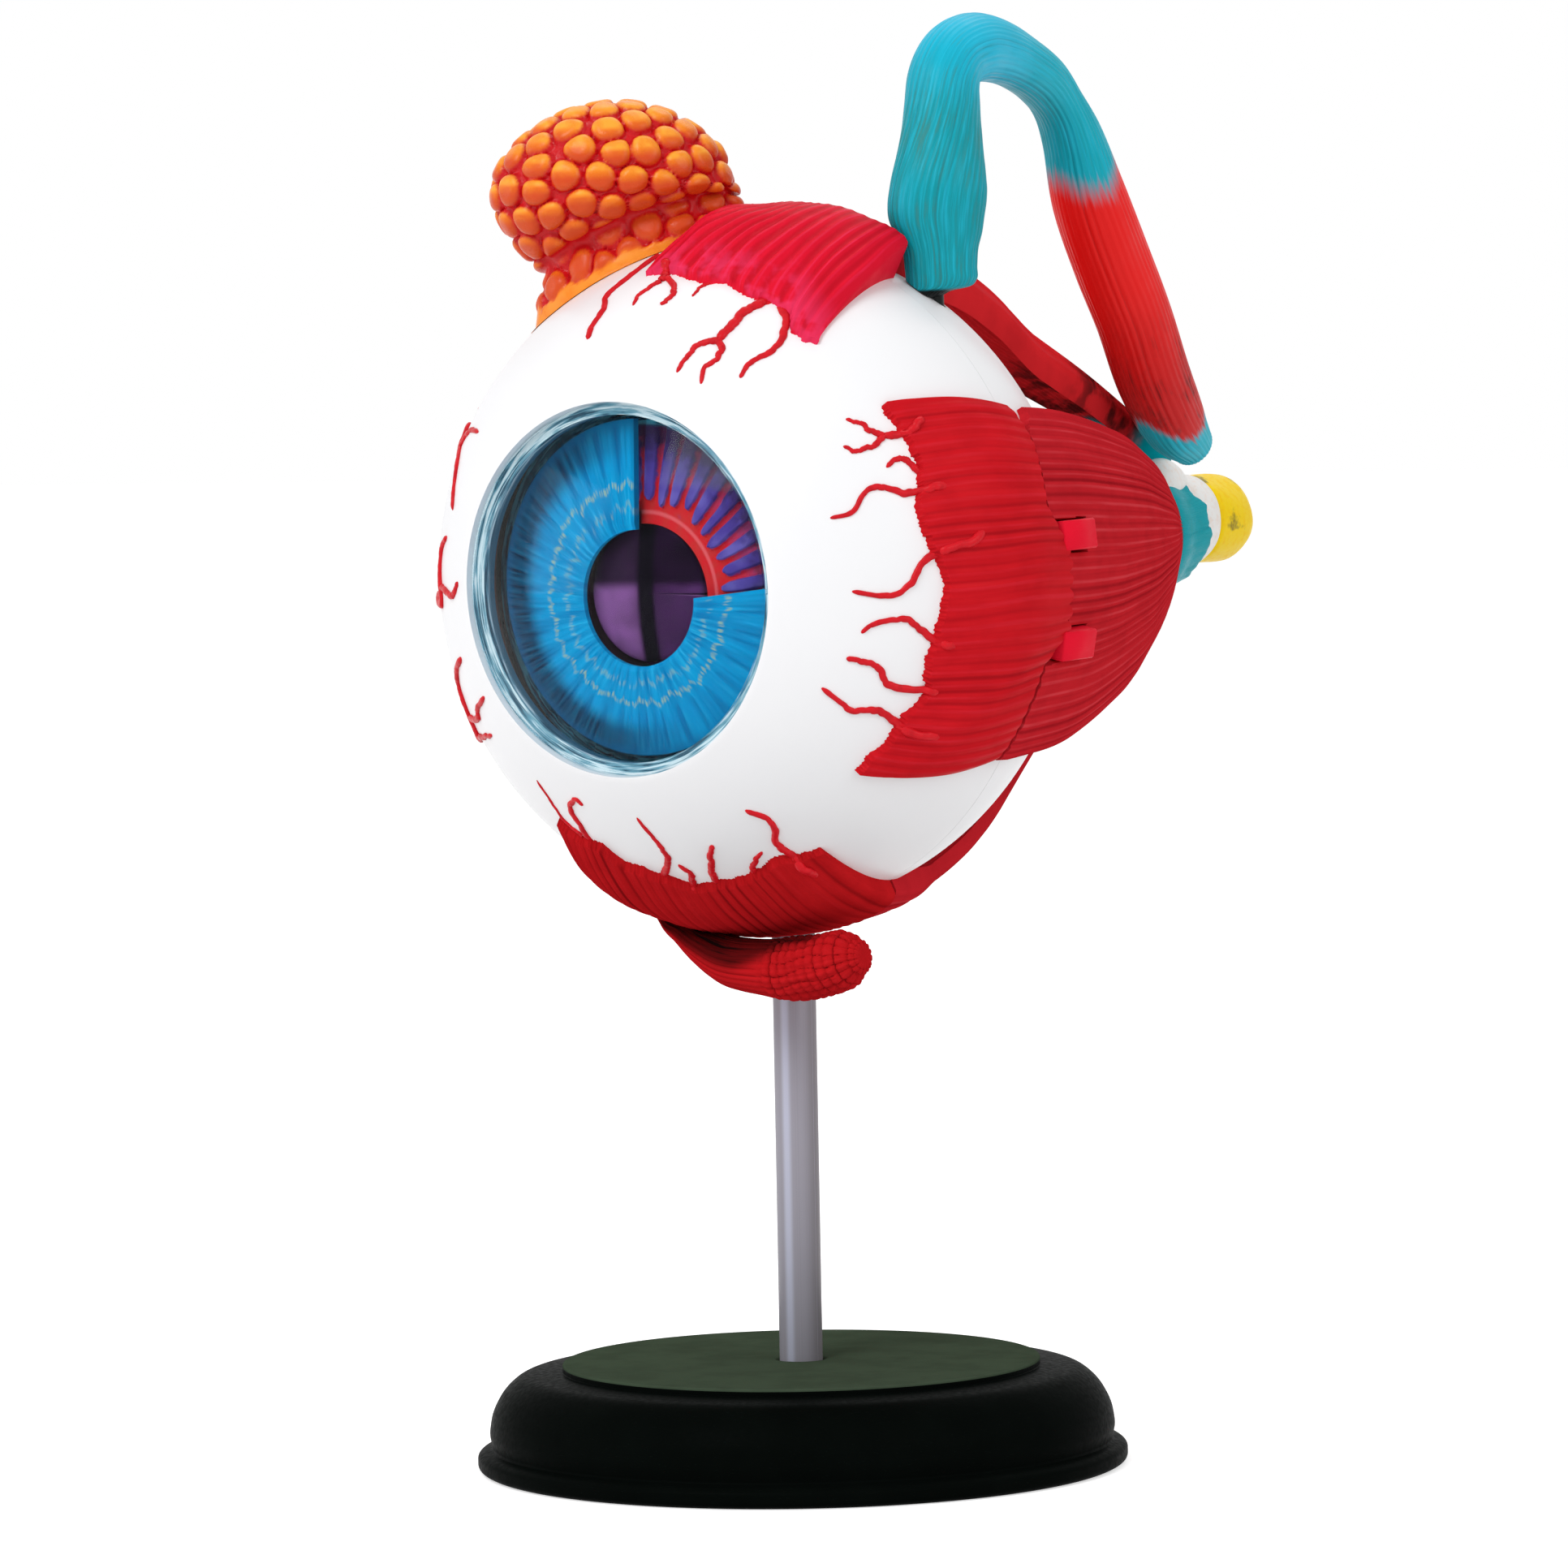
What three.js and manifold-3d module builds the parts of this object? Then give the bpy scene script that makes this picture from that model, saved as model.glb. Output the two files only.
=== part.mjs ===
// Take-apart model of the human eye, about three times life size, on a rod stand.
// Millimetres, +Z up. The origin is the middle of the base's underside, on the rod's axis.
// The eye looks along -Y and +X is its nose side. Inside the eye group the gaze is -Y too.
import * as THREE from "three";
import { mergeVertices } from "three/addons/utils/BufferGeometryUtils.js";
import Module from "manifold-3d";

const wasm = await Module();
wasm.setup();
const rad = THREE.MathUtils.degToRad;
const lerp = THREE.MathUtils.lerp;

// Stand
const baseRimRadius = 37.7;
const baseRimHeight = 2.4;
const baseDomeRadius = 36.3;
const baseTopRadius = 27.7;
const baseHeight = 12.3;
const basePlateStep = 0.9; // the raised disc stands this far above the dome's shoulder
const rodRadius = 2.5;
const rodSocketFloor = 2.0; // material left under the rod in the base
const rodFit = 0.09; // radial clearance of the rod in the base and in the eye's socket
const rodSides = 32;

// Place of the eye on the stand
const eyeHeight = 103.4; // centre of the eyeball above the table
const rodBehindCentre = 6.2; // the rod stands this far behind the eyeball's centre
const gazeTilt = rad(1.89); // the gaze drops a little

// Eyeball shell, an ellipsoid that is flatter along the gaze
const globeRadius = 38.66;
const globeHalfLength = 31.94;
const shellWall = 2.6;
const gap = 0.3; // between pieces that touch
const partingBack = 1.05; // parting plane, behind the centre
const spigotLength = 3.0; // the rear lining reaches this far into the front half
const liningWall = 1.4;
const retinaWall = 1.0;
const liningGap = 0.55; // between the nested shells, whose facets cut corners
const shellSegments = 36;
const liningSegments = 24;

// Rod socket inside the rear half
const socketRadius = 3.7;
const socketTop = 27.0; // below the centre
const socketRoof = 1.4;

// Front opening, cornea and the parts behind it
const openingRadius = 21.3;
const corneaRadius = 20.7;
const corneaSeat = 25.0; // ahead of the centre
const corneaRise = 5.6;
const corneaWall = 1.1;
const seatRadius = 19.5; // inner edge of the cornea's seat
const seatWall = 1.7;
const irisRadius = seatRadius - 0.4;
const irisWall = 0.9;
const irisRimFront = 22.9; // ahead of the centre, at the iris's outer edge
const irisPupilFront = 21.6; // the same at the pupil
const pupilRadius = 7.9;
const irisCutAngle = rad(90); // quarter left out, up and towards the nose
const ciliaryInner = 8.3;
const ciliaryBand = 10.6; // the red band ends here and the folds begin
const ciliaryFoldEnd = 17.2;
const ciliaryOuter = 21.4;
const ciliaryFold = 0.7; // height of a fold
const ciliaryFolds = 36;
const ciliaryBack = 17.6; // ahead of the centre
const lensRadius = 9.4;
const lensRim = 15.4; // ahead of the centre
const lensFrontRise = 3.9;
const lensBackRise = 5.0;
const vitreousFront = 12.4; // ahead of the centre

// Optic nerve
const sheathRadius = 5.6;
const nerveBoreRadius = 3.8;
const nerveCoreRadius = 5.1;
const sheathEnd = 89.4; // behind the centre
const nerveEnd = sheathEnd + 11; // the core stands this far out of the sheath
const nerveSpigot = 7.0; // length of the core inside the sheath
const ringFront = sheathEnd - 11.4; // tendon ring, behind the centre
const ringBack = ringFront + 7.8;
const ringFrontRadius = 8.4;
const ringBackRadius = 6.9;

// Straight muscles: the front pieces lie on the front half, the rear pieces run back to the ring
const muscleTip = 0.8; // thickness at the torn front edge
const sideMuscle = 1.9; // thickness of the medial and lateral muscles
const topMuscle = 3.7; // thickness of the superior rectus
const underMuscle = 2.7; // thickness of the inferior rectus
const rearMuscle = 2.0;
const ribDepth = 0.22;
const tabLength = 8.6; // the tabs reach this far behind the parting
const tabWidth = 3.4;
const tabWall = 1.4;
const tabClearance = 0.35;

// Pegs of the loose pieces
const pegRadius = 1.3;
const pegFit = 0.2;
const pegLength = 2.4;
const pegRoot = 0.4; // two of the pegs start this far outside the shell's inner face
const cutPast = 8; // cutters run this far past what they cut

// Helpers

// A closed geometry as a solid; a geometry that faces inwards is turned round.
function solidOf(geometry) {
  const bare = new THREE.BufferGeometry();
  bare.setAttribute("position", geometry.getAttribute("position").clone());
  bare.setIndex(geometry.index ? geometry.index.clone() : null);
  const merged = mergeVertices(bare, 1e-3);
  const p = merged.attributes.position.array;
  const t = new Uint32Array(merged.index.array);
  const keep = [];
  let volume = 0;
  const a = new THREE.Vector3();
  const b = new THREE.Vector3();
  const c = new THREE.Vector3();
  for (let i = 0; i < t.length; i += 3) {
    if (t[i] === t[i + 1] || t[i + 1] === t[i + 2] || t[i] === t[i + 2]) continue;
    keep.push(t[i], t[i + 1], t[i + 2]);
    volume += a.fromArray(p, 3 * t[i]).dot(
      b.fromArray(p, 3 * t[i + 1]).cross(c.fromArray(p, 3 * t[i + 2])));
  }
  if (volume < 0) {
    for (let i = 0; i < keep.length; i += 3) [keep[i], keep[i + 1]] = [keep[i + 1], keep[i]];
  }
  return new wasm.Manifold(new wasm.Mesh({
    numProp: 3, vertProperties: new Float32Array(p), triVerts: new Uint32Array(keep),
  }));
}

function geometryOf(solid) {
  const mesh = solid.getMesh();
  const step = mesh.numProp;
  const p = new Float32Array(mesh.numVert * 3);
  for (let i = 0; i < mesh.numVert; i++) {
    for (let k = 0; k < 3; k++) p[3 * i + k] = mesh.vertProperties[step * i + k];
  }
  const geometry = new THREE.BufferGeometry();
  geometry.setAttribute("position", new THREE.BufferAttribute(p, 3));
  geometry.setIndex(new THREE.BufferAttribute(new Uint32Array(mesh.triVerts), 1));
  geometry.computeVertexNormals();
  return geometry;
}

function named(name, solid, colour, roughness, extra = {}) {
  const material = new THREE.MeshStandardMaterial({ color: colour, roughness, metalness: 0, ...extra });
  const mesh = new THREE.Mesh(geometryOf(solid), material);
  mesh.name = name;
  return mesh;
}

// A solid turned about the Y axis from a closed profile of [radius, y] points.
function turned(profile, segments) {
  const points = profile.map(([r, y]) => new THREE.Vector2(r, y));
  const onAxis = points[0].x === 0 && points.at(-1).x === 0;
  if (!onAxis) points.push(points[0].clone());
  return solidOf(new THREE.LatheGeometry(points, segments));
}

// A closed slab between two grids of points; place(u, v, outer) gives a point.
function slab(rows, cols, place) {
  const position = [];
  for (const outer of [true, false]) {
    for (let i = 0; i <= rows; i++) {
      for (let j = 0; j <= cols; j++) position.push(...place(i / rows, j / cols, outer, i, j).toArray());
    }
  }
  const at = (outer, i, j) => (outer ? 0 : (rows + 1) * (cols + 1)) + i * (cols + 1) + j;
  const index = [];
  const quad = (a, b, c, d) => index.push(a, b, c, a, c, d);
  for (let i = 0; i < rows; i++) {
    for (let j = 0; j < cols; j++) {
      quad(at(true, i, j), at(true, i, j + 1), at(true, i + 1, j + 1), at(true, i + 1, j));
      quad(at(false, i + 1, j), at(false, i + 1, j + 1), at(false, i, j + 1), at(false, i, j));
    }
  }
  for (let j = 0; j < cols; j++) {
    quad(at(true, 0, j + 1), at(true, 0, j), at(false, 0, j), at(false, 0, j + 1));
    quad(at(true, rows, j), at(true, rows, j + 1), at(false, rows, j + 1), at(false, rows, j));
  }
  for (let i = 0; i < rows; i++) {
    quad(at(true, i, 0), at(true, i + 1, 0), at(false, i + 1, 0), at(false, i, 0));
    quad(at(true, i + 1, cols), at(true, i, cols), at(false, i, cols), at(false, i + 1, cols));
  }
  const geometry = new THREE.BufferGeometry();
  geometry.setAttribute("position", new THREE.Float32BufferAttribute(position, 3));
  geometry.setIndex(index);
  return solidOf(geometry);
}

// A closed solid through rings of points, with a fan of triangles on each end.
function lofted(rings) {
  const count = rings[0].length;
  const position = [];
  for (const ring of rings) for (const point of ring) position.push(...point.toArray());
  const index = [];
  for (let i = 0; i < rings.length - 1; i++) {
    for (let j = 0; j < count; j++) {
      const a = i * count + j;
      const b = i * count + ((j + 1) % count);
      index.push(a, b, b + count, a, b + count, a + count);
    }
  }
  const lastFirst = (rings.length - 1) * count;
  for (const [ring, first, flip] of [[rings[0], 0, true], [rings.at(-1), lastFirst, false]]) {
    const middle = new THREE.Vector3();
    for (const point of ring) middle.addScaledVector(point, 1 / count);
    const centre = position.length / 3;
    position.push(...middle.toArray());
    for (let j = 0; j < count; j++) {
      const a = first + j;
      const b = first + ((j + 1) % count);
      if (flip) index.push(centre, b, a);
      else index.push(centre, a, b);
    }
  }
  const geometry = new THREE.BufferGeometry();
  geometry.setAttribute("position", new THREE.Float32BufferAttribute(position, 3));
  geometry.setIndex(index);
  return solidOf(geometry);
}

// A cylinder along a direction, from one point over a length.
function rodSolid(from, direction, length, radius, sides) {
  const geometry = new THREE.CylinderGeometry(radius, radius, length, sides);
  const along = direction.clone().normalize();
  const turn = new THREE.Quaternion().setFromUnitVectors(new THREE.Vector3(0, 1, 0), along);
  geometry.applyQuaternion(turn);
  geometry.translate(...from.clone().addScaledVector(direction.clone().normalize(), length / 2).toArray());
  return solidOf(geometry);
}

// The largest body of a solid: a cut can leave a thin loose sliver beside it.
function largest(solid) {
  return solid.decompose().reduce((kept, body) => (body.volume() > kept.volume() ? body : kept));
}

// Straight-line value of a table of [x, value] rows at x.
function table(rows, x) {
  const up = rows.at(-1)[0] > rows[0][0];
  for (let i = 1; i < rows.length; i++) {
    const [x0, y0] = rows[i - 1];
    const [x1, y1] = rows[i];
    if ((up ? x <= x1 : x >= x1) || i === rows.length - 1) {
      const t = THREE.MathUtils.clamp((x - x0) / (x1 - x0), 0, 1);
      return lerp(y0, y1, t);
    }
  }
  return rows.at(-1)[1];
}

// Radius of the eyeball, grown by an offset, at a distance ahead of its centre.
function ballRadius(ahead, offset) {
  const share = Math.min(1, Math.abs(ahead) / (globeHalfLength + offset));
  return (globeRadius + offset) * Math.sqrt(1 - share * share);
}

// Distance ahead of the centre where the eyeball, grown by an offset, has a radius.
function ballAhead(radius, offset) {
  const share = Math.min(1, radius / (globeRadius + offset));
  return (globeHalfLength + offset) * Math.sqrt(1 - share * share);
}

// Profile points [radius, y] along the eyeball, grown by an offset, between two values of y.
function ballArc(y0, y1, offset, steps) {
  const whole = globeHalfLength + offset;
  const t0 = Math.acos(THREE.MathUtils.clamp(-y0 / whole, -1, 1));
  const t1 = Math.acos(THREE.MathUtils.clamp(-y1 / whole, -1, 1));
  const points = [];
  for (let i = 0; i <= steps; i++) {
    const t = lerp(t0, t1, i / steps);
    points.push([(globeRadius + offset) * Math.sin(t), -whole * Math.cos(t)]);
  }
  return points;
}

function polar(radius, angle, y) {
  return new THREE.Vector3(radius * Math.cos(angle), y, radius * Math.sin(angle));
}

// Scene graph

const model = new THREE.Group();
const stand = new THREE.Group();
const eye = new THREE.Group();
eye.position.set(0, -rodBehindCentre, eyeHeight);
eye.rotation.x = gazeTilt;
eye.updateMatrix();
const rearHalf = new THREE.Group();
const frontHalf = new THREE.Group();
model.add(stand, eye);
eye.add(rearHalf, frontHalf);

// A solid that is built on the stand's axes, moved into the eye's own frame.
function intoEye(solid) {
  const geometry = geometryOf(solid);
  geometry.applyMatrix4(eye.matrix.clone().invert());
  return solidOf(geometry);
}

// Stand

// The base is turned about its own upright axis: profile points are [radius, height].
function upright(profile, segments) {
  const points = profile.map(([r, z]) => new THREE.Vector2(r, z));
  const geometry = new THREE.LatheGeometry(points, segments);
  geometry.rotateX(Math.PI / 2);
  return solidOf(geometry);
}

const shoulder = baseHeight - basePlateStep;
const waistRadius = baseDomeRadius - 0.3;
const baseProfile = [
  [0, 0],
  [baseRimRadius - 0.8, 0],
  [baseRimRadius, 0.7],
  [baseRimRadius, baseRimHeight - 0.8],
  [baseRimRadius - 0.6, baseRimHeight],
  [waistRadius, baseRimHeight + 0.4],
  [baseDomeRadius, lerp(baseRimHeight, shoulder, 0.22)],
  [baseDomeRadius - 0.3, lerp(baseRimHeight, shoulder, 0.46)],
  [baseDomeRadius - 1.4, lerp(baseRimHeight, shoulder, 0.72)],
  [lerp(baseTopRadius, baseDomeRadius, 0.6), lerp(baseRimHeight, shoulder, 0.92)],
  [baseTopRadius + 0.9, shoulder],
  [baseTopRadius, shoulder],
  [baseTopRadius, baseHeight - 0.3],
  [baseTopRadius - 0.4, baseHeight],
  [rodRadius + rodFit, baseHeight],
  [rodRadius + rodFit, rodSocketFloor],
  [0, rodSocketFloor],
];
stand.add(named("stand_base", upright(baseProfile, 40), 0x0f1512, 0.45));

// The rod's top end stands in the eye's socket, a little below its roof.
const socketRoofPoint = new THREE.Vector3(0, 0, -socketTop + -socketRoof).applyMatrix4(eye.matrix).z;
const rodFoot = rodSocketFloor + gap;
const rodTop = socketRoofPoint - gap;
const up = new THREE.Vector3(0, 0, 1);
const onAxis = (z) => new THREE.Vector3(0, 0, z);
const rod = rodSolid(onAxis(rodFoot), up, rodTop - rodFoot, rodRadius, rodSides);
stand.add(named("stand_rod", rod, 0xb9b4c4, 0.3, { metalness: 0.8 }));

// The socket, its bore and the room that the linings leave for it, all on the rod's axis.
const socketFloor = eyeHeight - globeRadius - cutPast;
function socketRod(start, end, radius, sides) {
  return intoEye(rodSolid(onAxis(start), up, end - start, radius, sides));
}
const socketEnd = socketRoofPoint + socketRoof;
const socketBody = socketRod(socketFloor, socketEnd, socketRadius, 28);
const socketBore = socketRod(socketFloor - 2, socketRoofPoint, rodRadius + rodFit, rodSides);
const socketRoom = socketRod(socketFloor - 2, socketEnd + gap, socketRadius + gap, 28);
const rodRoom = socketRod(socketFloor - cutPast, socketRoofPoint - cutPast, rodRadius + rodFit + gap, 28);

// Rear half: shell, linings and vitreous

const rearFace = partingBack + gap / 2;
const frontFace = partingBack - gap / 2;
const sheathHole = sheathRadius + gap;

// The shell closes round the nerve's hole at the back.
function rearCup(y0, outerOffset, wall, hole, segments, steps) {
  const outerEnd = ballAhead(hole, outerOffset);
  const innerEnd = ballAhead(hole, outerOffset - wall);
  const outer = ballArc(y0, outerEnd, outerOffset, steps);
  const inner = ballArc(innerEnd, y0, outerOffset - wall, steps);
  return turned([...outer, ...inner], segments);
}

// The whole eyeball as a solid, grown by an offset.
function wholeBall(offset, steps, segments) {
  const end = globeHalfLength + offset;
  return turned([[0, -end], ...ballArc(-end * 0.995, end * 0.995, offset, steps), [0, end]], segments);
}

let scleraRear = rearCup(rearFace, 0, shellWall, sheathHole, shellSegments, 6);
scleraRear = scleraRear.add(socketBody.intersect(wholeBall(0, 16, shellSegments))).subtract(socketBore);

const spigotFront = partingBack - spigotLength;
const liningOffset = -(shellWall + liningGap);
const choroidCup = rearCup(spigotFront, liningOffset, liningWall, sheathHole, liningSegments, 5);
const choroidRear = choroidCup.subtract(socketRoom);
const retinaOffset = liningOffset - liningWall - liningGap;
const retinaCup = rearCup(rearFace, retinaOffset, retinaWall, sheathHole, liningSegments, 5);
const retinaRear = retinaCup.subtract(socketRoom);

// The vitreous fills the retina's cup and holds the back of the lens in its dished front.
const vitreousOffset = retinaOffset - retinaWall - liningGap;
function lensArc(rise, reach, steps, grow) {
  // Arc of [radius, distance from the rim plane] from the rim inwards to the axis.
  const sphere = (reach * reach + rise * rise) / (2 * rise);
  const points = [];
  for (let i = 0; i <= steps; i++) {
    const r = reach * (1 - i / steps);
    points.push([i === steps ? 0 : r, Math.sqrt(sphere * sphere - r * r) - (sphere - rise) + grow]);
  }
  return points;
}
const lensBackRoom = lensArc(lensBackRise, lensRadius, 4, gap);
const dish = lensBackRoom.map(([r, d]) => [r, -(lensRim - d)]).filter(([, y]) => y > -vitreousFront);
const vitreousBack = globeHalfLength + vitreousOffset;
const vitreousProfile = [
  [0, vitreousBack],
  ...ballArc(vitreousBack * 0.99, -vitreousFront, vitreousOffset, 7),
  ...dish,
];
const vitreous = turned(vitreousProfile, liningSegments).subtract(socketRoom);

// Optic nerve: a white sheath, a yellow core that stands out of it and the teal tendon ring

const sheathStart = globeHalfLength + vitreousOffset + gap;
const sheathProfile = [
  [0, sheathStart],
  [sheathRadius - 1.0, sheathStart],
  [sheathRadius, sheathStart + 1.0],
  [sheathRadius, sheathEnd - 1.2],
  [sheathRadius - 0.4, sheathEnd],
  [nerveBoreRadius, sheathEnd],
  [nerveBoreRadius, sheathEnd - nerveSpigot - gap],
  [0, sheathEnd - nerveSpigot - gap],
];
const coreFoot = sheathEnd + gap;
const coreProfile = [
  [0, sheathEnd - nerveSpigot],
  [nerveBoreRadius - gap, sheathEnd - nerveSpigot],
  [nerveBoreRadius - gap, coreFoot],
  [nerveCoreRadius, coreFoot],
  [nerveCoreRadius, nerveEnd - 1.8],
  [nerveCoreRadius - 0.6, nerveEnd - 0.6],
  [nerveCoreRadius - 2.0, nerveEnd],
  [0, nerveEnd],
];
const ringBore = sheathRadius + gap;
const ringProfile = [
  [ringBore, ringFront],
  [ringFrontRadius, ringFront],
  [ringFrontRadius - 0.3, lerp(ringFront, ringBack, 0.4)],
  [ringBackRadius, ringBack - 0.8],
  [ringBackRadius - 0.6, ringBack],
  [ringBore, ringBack],
];

// Straight muscles

// Outer radius of a rear piece at a distance behind the centre: it leaves the eyeball at its
// widest and narrows to its end. The shape gives the share of that drop still to come.
const sideShape = [[0, 1], [0.16, 0.94], [0.32, 0.82], [0.51, 0.65], [0.76, 0.35], [0.89, 0.16], [1, 0]];
const topShape = [
  [0, 1], [0.12, 0.95], [0.28, 0.853], [0.44, 0.673], [0.51, 0.557], [0.72, 0.338], [0.857, 0.177], [1, 0],
];
const underShape = [[0, 1], [0.165, 0.968], [0.3, 0.89], [0.42, 0.78], [0.585, 0.53], [0.8, 0.22], [1, 0]];
const coneEnd = ringFront - gap;
const topEnd = ringFront + 4; // the superior rectus ends above the ring
const topEndRadius = ringFrontRadius + gap + rearMuscle + 0.9;
function coneRadius(m, y) {
  const wide = globeRadius + gap + m.wall;
  const share = table(m.shape, Math.max(0, y) / m.end);
  return lerp(m.endRadius, wide, share);
}

// Edges are tables over the bearing phi, in degrees round the gaze axis: 0 is the nose side, 90 up.
// front gives the torn edge as an angle from the gaze, split gives the parting line behind the centre.
const muscles = {
  superior: {
    front: [
      [93, 65], [88, 64.5], [82, 62], [77, 63.6], [72, 62], [66, 62.7], [61, 62.4], [57.5, 60], [51.8, 59],
    ],
    split: [[97, 1.4], [77, 1.0], [57.5, 1.4]],
    rear: [102, 64],
    shape: topShape, end: topEnd, endRadius: topEndRadius,
    wall: topMuscle, cols: 16, frontColour: 0xe01a30, rearColour: 0xb81c26,
  },
  medial: {
    front: [
      [34.5, 64], [23, 65], [14, 62.5], [8, 63], [1, 65.5], [-7, 65],
      [-14, 63.4], [-21, 64], [-25, 61.6], [-32, 60.3], [-39.4, 57.5],
    ],
    split: [
      [28.5, 2.4], [11.5, 1.0], [10.6, 1.0], [3.0, 4.6],
      [-9.0, 4.6], [-14.8, 0.2], [-22, -1.0], [-31.5, -2.2],
    ],
    rear: [28.5, -33],
    shape: sideShape, end: coneEnd, endRadius: ringFrontRadius,
    wall: sideMuscle, cols: 26, tabs: [5.8, -11.8], frontColour: 0xd81a2e, rearColour: 0xbe1e28,
  },
  inferior: {
    front: [
      [242, 51], [248, 53], [254, 53], [257.5, 57], [262, 57], [267, 59],
      [271, 62.6], [280, 61.4], [288, 61], [293, 60], [297, 62.5], [301, 63.6],
    ],
    split: [[243, 1.2], [270, 1.0], [295.4, 1.2]],
    rear: [252, 285],
    shape: underShape, end: coneEnd, endRadius: ringFrontRadius,
    wall: underMuscle, cols: 16, frontColour: 0xd2182a, rearColour: 0xb01a24,
  },
  lateral: {
    front: [
      [212, 74], [204, 76], [195, 74.5], [187, 76], [180, 77], [172, 75.5], [165, 77], [156, 75], [148, 74],
    ],
    split: [[210, 1.4], [191, 1.2], [180, 3.4], [169, 1.2], [150, 1.4]],
    rear: [210, 150],
    shape: sideShape, end: coneEnd, endRadius: ringFrontRadius,
    wall: sideMuscle, cols: 22, tabs: [188, 171], frontColour: 0xd81a2e, rearColour: 0xbe1e28,
  },
};

const edgeEase = (v) => 0.42 + 0.58 * Math.sqrt(1 - Math.pow(Math.abs(2 * v - 1), 6));
const rib = (j, cols) => (j === 0 || j === cols ? 0 : (j % 2 ? ribDepth : -ribDepth));

// The front piece follows the shell; behind the widest circle it runs straight back, so that it
// draws off forwards. With room above zero the strip is swollen by it on every side and reaches
// into the shell, to cut the room that a neighbour leaves for it.
function frontStrip(m, room = 0) {
  const firstF = m.front[0][0];
  const lastF = m.front.at(-1)[0];
  const firstS = m.split[0][0];
  const lastS = m.split.at(-1)[0];
  return slab(4, m.cols, (u, v, outer, i, j) => {
    const phiF = lerp(firstF, lastF, v);
    const phiS = lerp(firstS, lastS, v);
    const torn = room > 0 ? 0 : (j % 2 ? 0.8 : 0);
    const aheadF = (globeHalfLength + gap) * Math.cos(rad(table(m.front, phiF) + torn)) + room;
    const aheadS = -(table(m.split, phiS) - gap / 2) - room;
    const ahead = lerp(aheadF, aheadS, u);
    const full = lerp(muscleTip, m.wall, Math.min(1, Math.sin(Math.min(1, u / 0.75) * Math.PI / 2)));
    const ribs = u > 0 ? rib(j, m.cols) : 0;
    const thick = room > 0 ? full + ribDepth + room : Math.max(muscleTip, full * edgeEase(v)) + ribs;
    const offset = outer ? gap + thick : gap;
    const radius = (ahead > 0 ? ballRadius(ahead, offset) : globeRadius + offset) - (outer ? 0 : 3 * room);
    const widen = (Math.sign(firstF - lastF) * (1 - 2 * v) * room) / globeRadius;
    return polar(radius, rad(lerp(phiF, phiS, u)) + widen, -ahead);
  });
}

// Rows of a rear piece, as shares of its length: close together where it leaves the eyeball.
const rearRows = [0, 0.06, 0.14, 0.27, 0.43, 0.62, 0.82, 1];

function rearStrip(m, room = 0) {
  const [a, b] = m.rear;
  const firstS = m.split[0][0];
  const lastS = m.split.at(-1)[0];
  return slab(rearRows.length - 1, m.cols, (u, v, outer, i, j) => {
    const share = rearRows[i];
    const phiS = lerp(firstS, lastS, v);
    const start = table(m.split, phiS) + gap / 2 - room;
    const y = lerp(start, m.end + room, share);
    const ease = room > 0 ? 1 : edgeEase(v);
    const thick = lerp(m.wall * ease, rearMuscle, Math.min(1, share * 1.6));
    const top = coneRadius(m, y) - m.wall * (1 - ease) * (1 - share);
    const bottom = Math.max(top - thick, ballRadius(y, gap + 0.1), ringBore + gap);
    const ribs = share > 0 && share < 1 ? rib(j, m.cols) : 0;
    const widen = (Math.sign(firstS - lastS) * (1 - 2 * v) * room) / coneRadius(m, y);
    const phi = rad(lerp(phiS, lerp(a, b, v), Math.min(1, share * 4))) + widen;
    const swollen = room > 0 ? room + ribDepth : 0;
    const radius = outer ? Math.max(top + ribs, bottom + 0.6) + swollen : bottom - 3 * room;
    return polar(Math.max(radius, 1), phi, y);
  });
}

// A tab is a flat tongue of the front piece that lies in a notch of the rear piece.
const tabInner = globeRadius + gap + 0.1;
const tabRoot = 3; // the tab starts this far ahead of the parting, inside its muscle
function tabBlock(bearing, inner, height, length, width) {
  const box = new THREE.BoxGeometry(height, length, width);
  box.translate(inner + height / 2, partingBack + tabLength - length / 2, 0);
  box.rotateY(-rad(bearing));
  return box;
}
const tab = (bearing) => solidOf(tabBlock(bearing, tabInner, tabWall, tabLength + tabRoot, tabWidth));
function notch(bearing) {
  const width = tabWidth + 2 * tabClearance;
  const box = tabBlock(bearing, tabInner - tabClearance, tabWall + cutPast, tabLength + cutPast, width);
  return solidOf(box.translate(0, tabClearance, 0));
}

const frontPieces = {};
const rearPieces = {};
for (const [key, m] of Object.entries(muscles)) {
  let front = frontStrip(m);
  let rear = rearStrip(m);
  for (const bearing of m.tabs ?? []) {
    front = front.add(tab(bearing));
    rear = rear.subtract(notch(bearing));
  }
  frontPieces[key] = front;
  rearPieces[key] = rear;
}
rearPieces.inferior = rearPieces.inferior.subtract(rodRoom);

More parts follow.
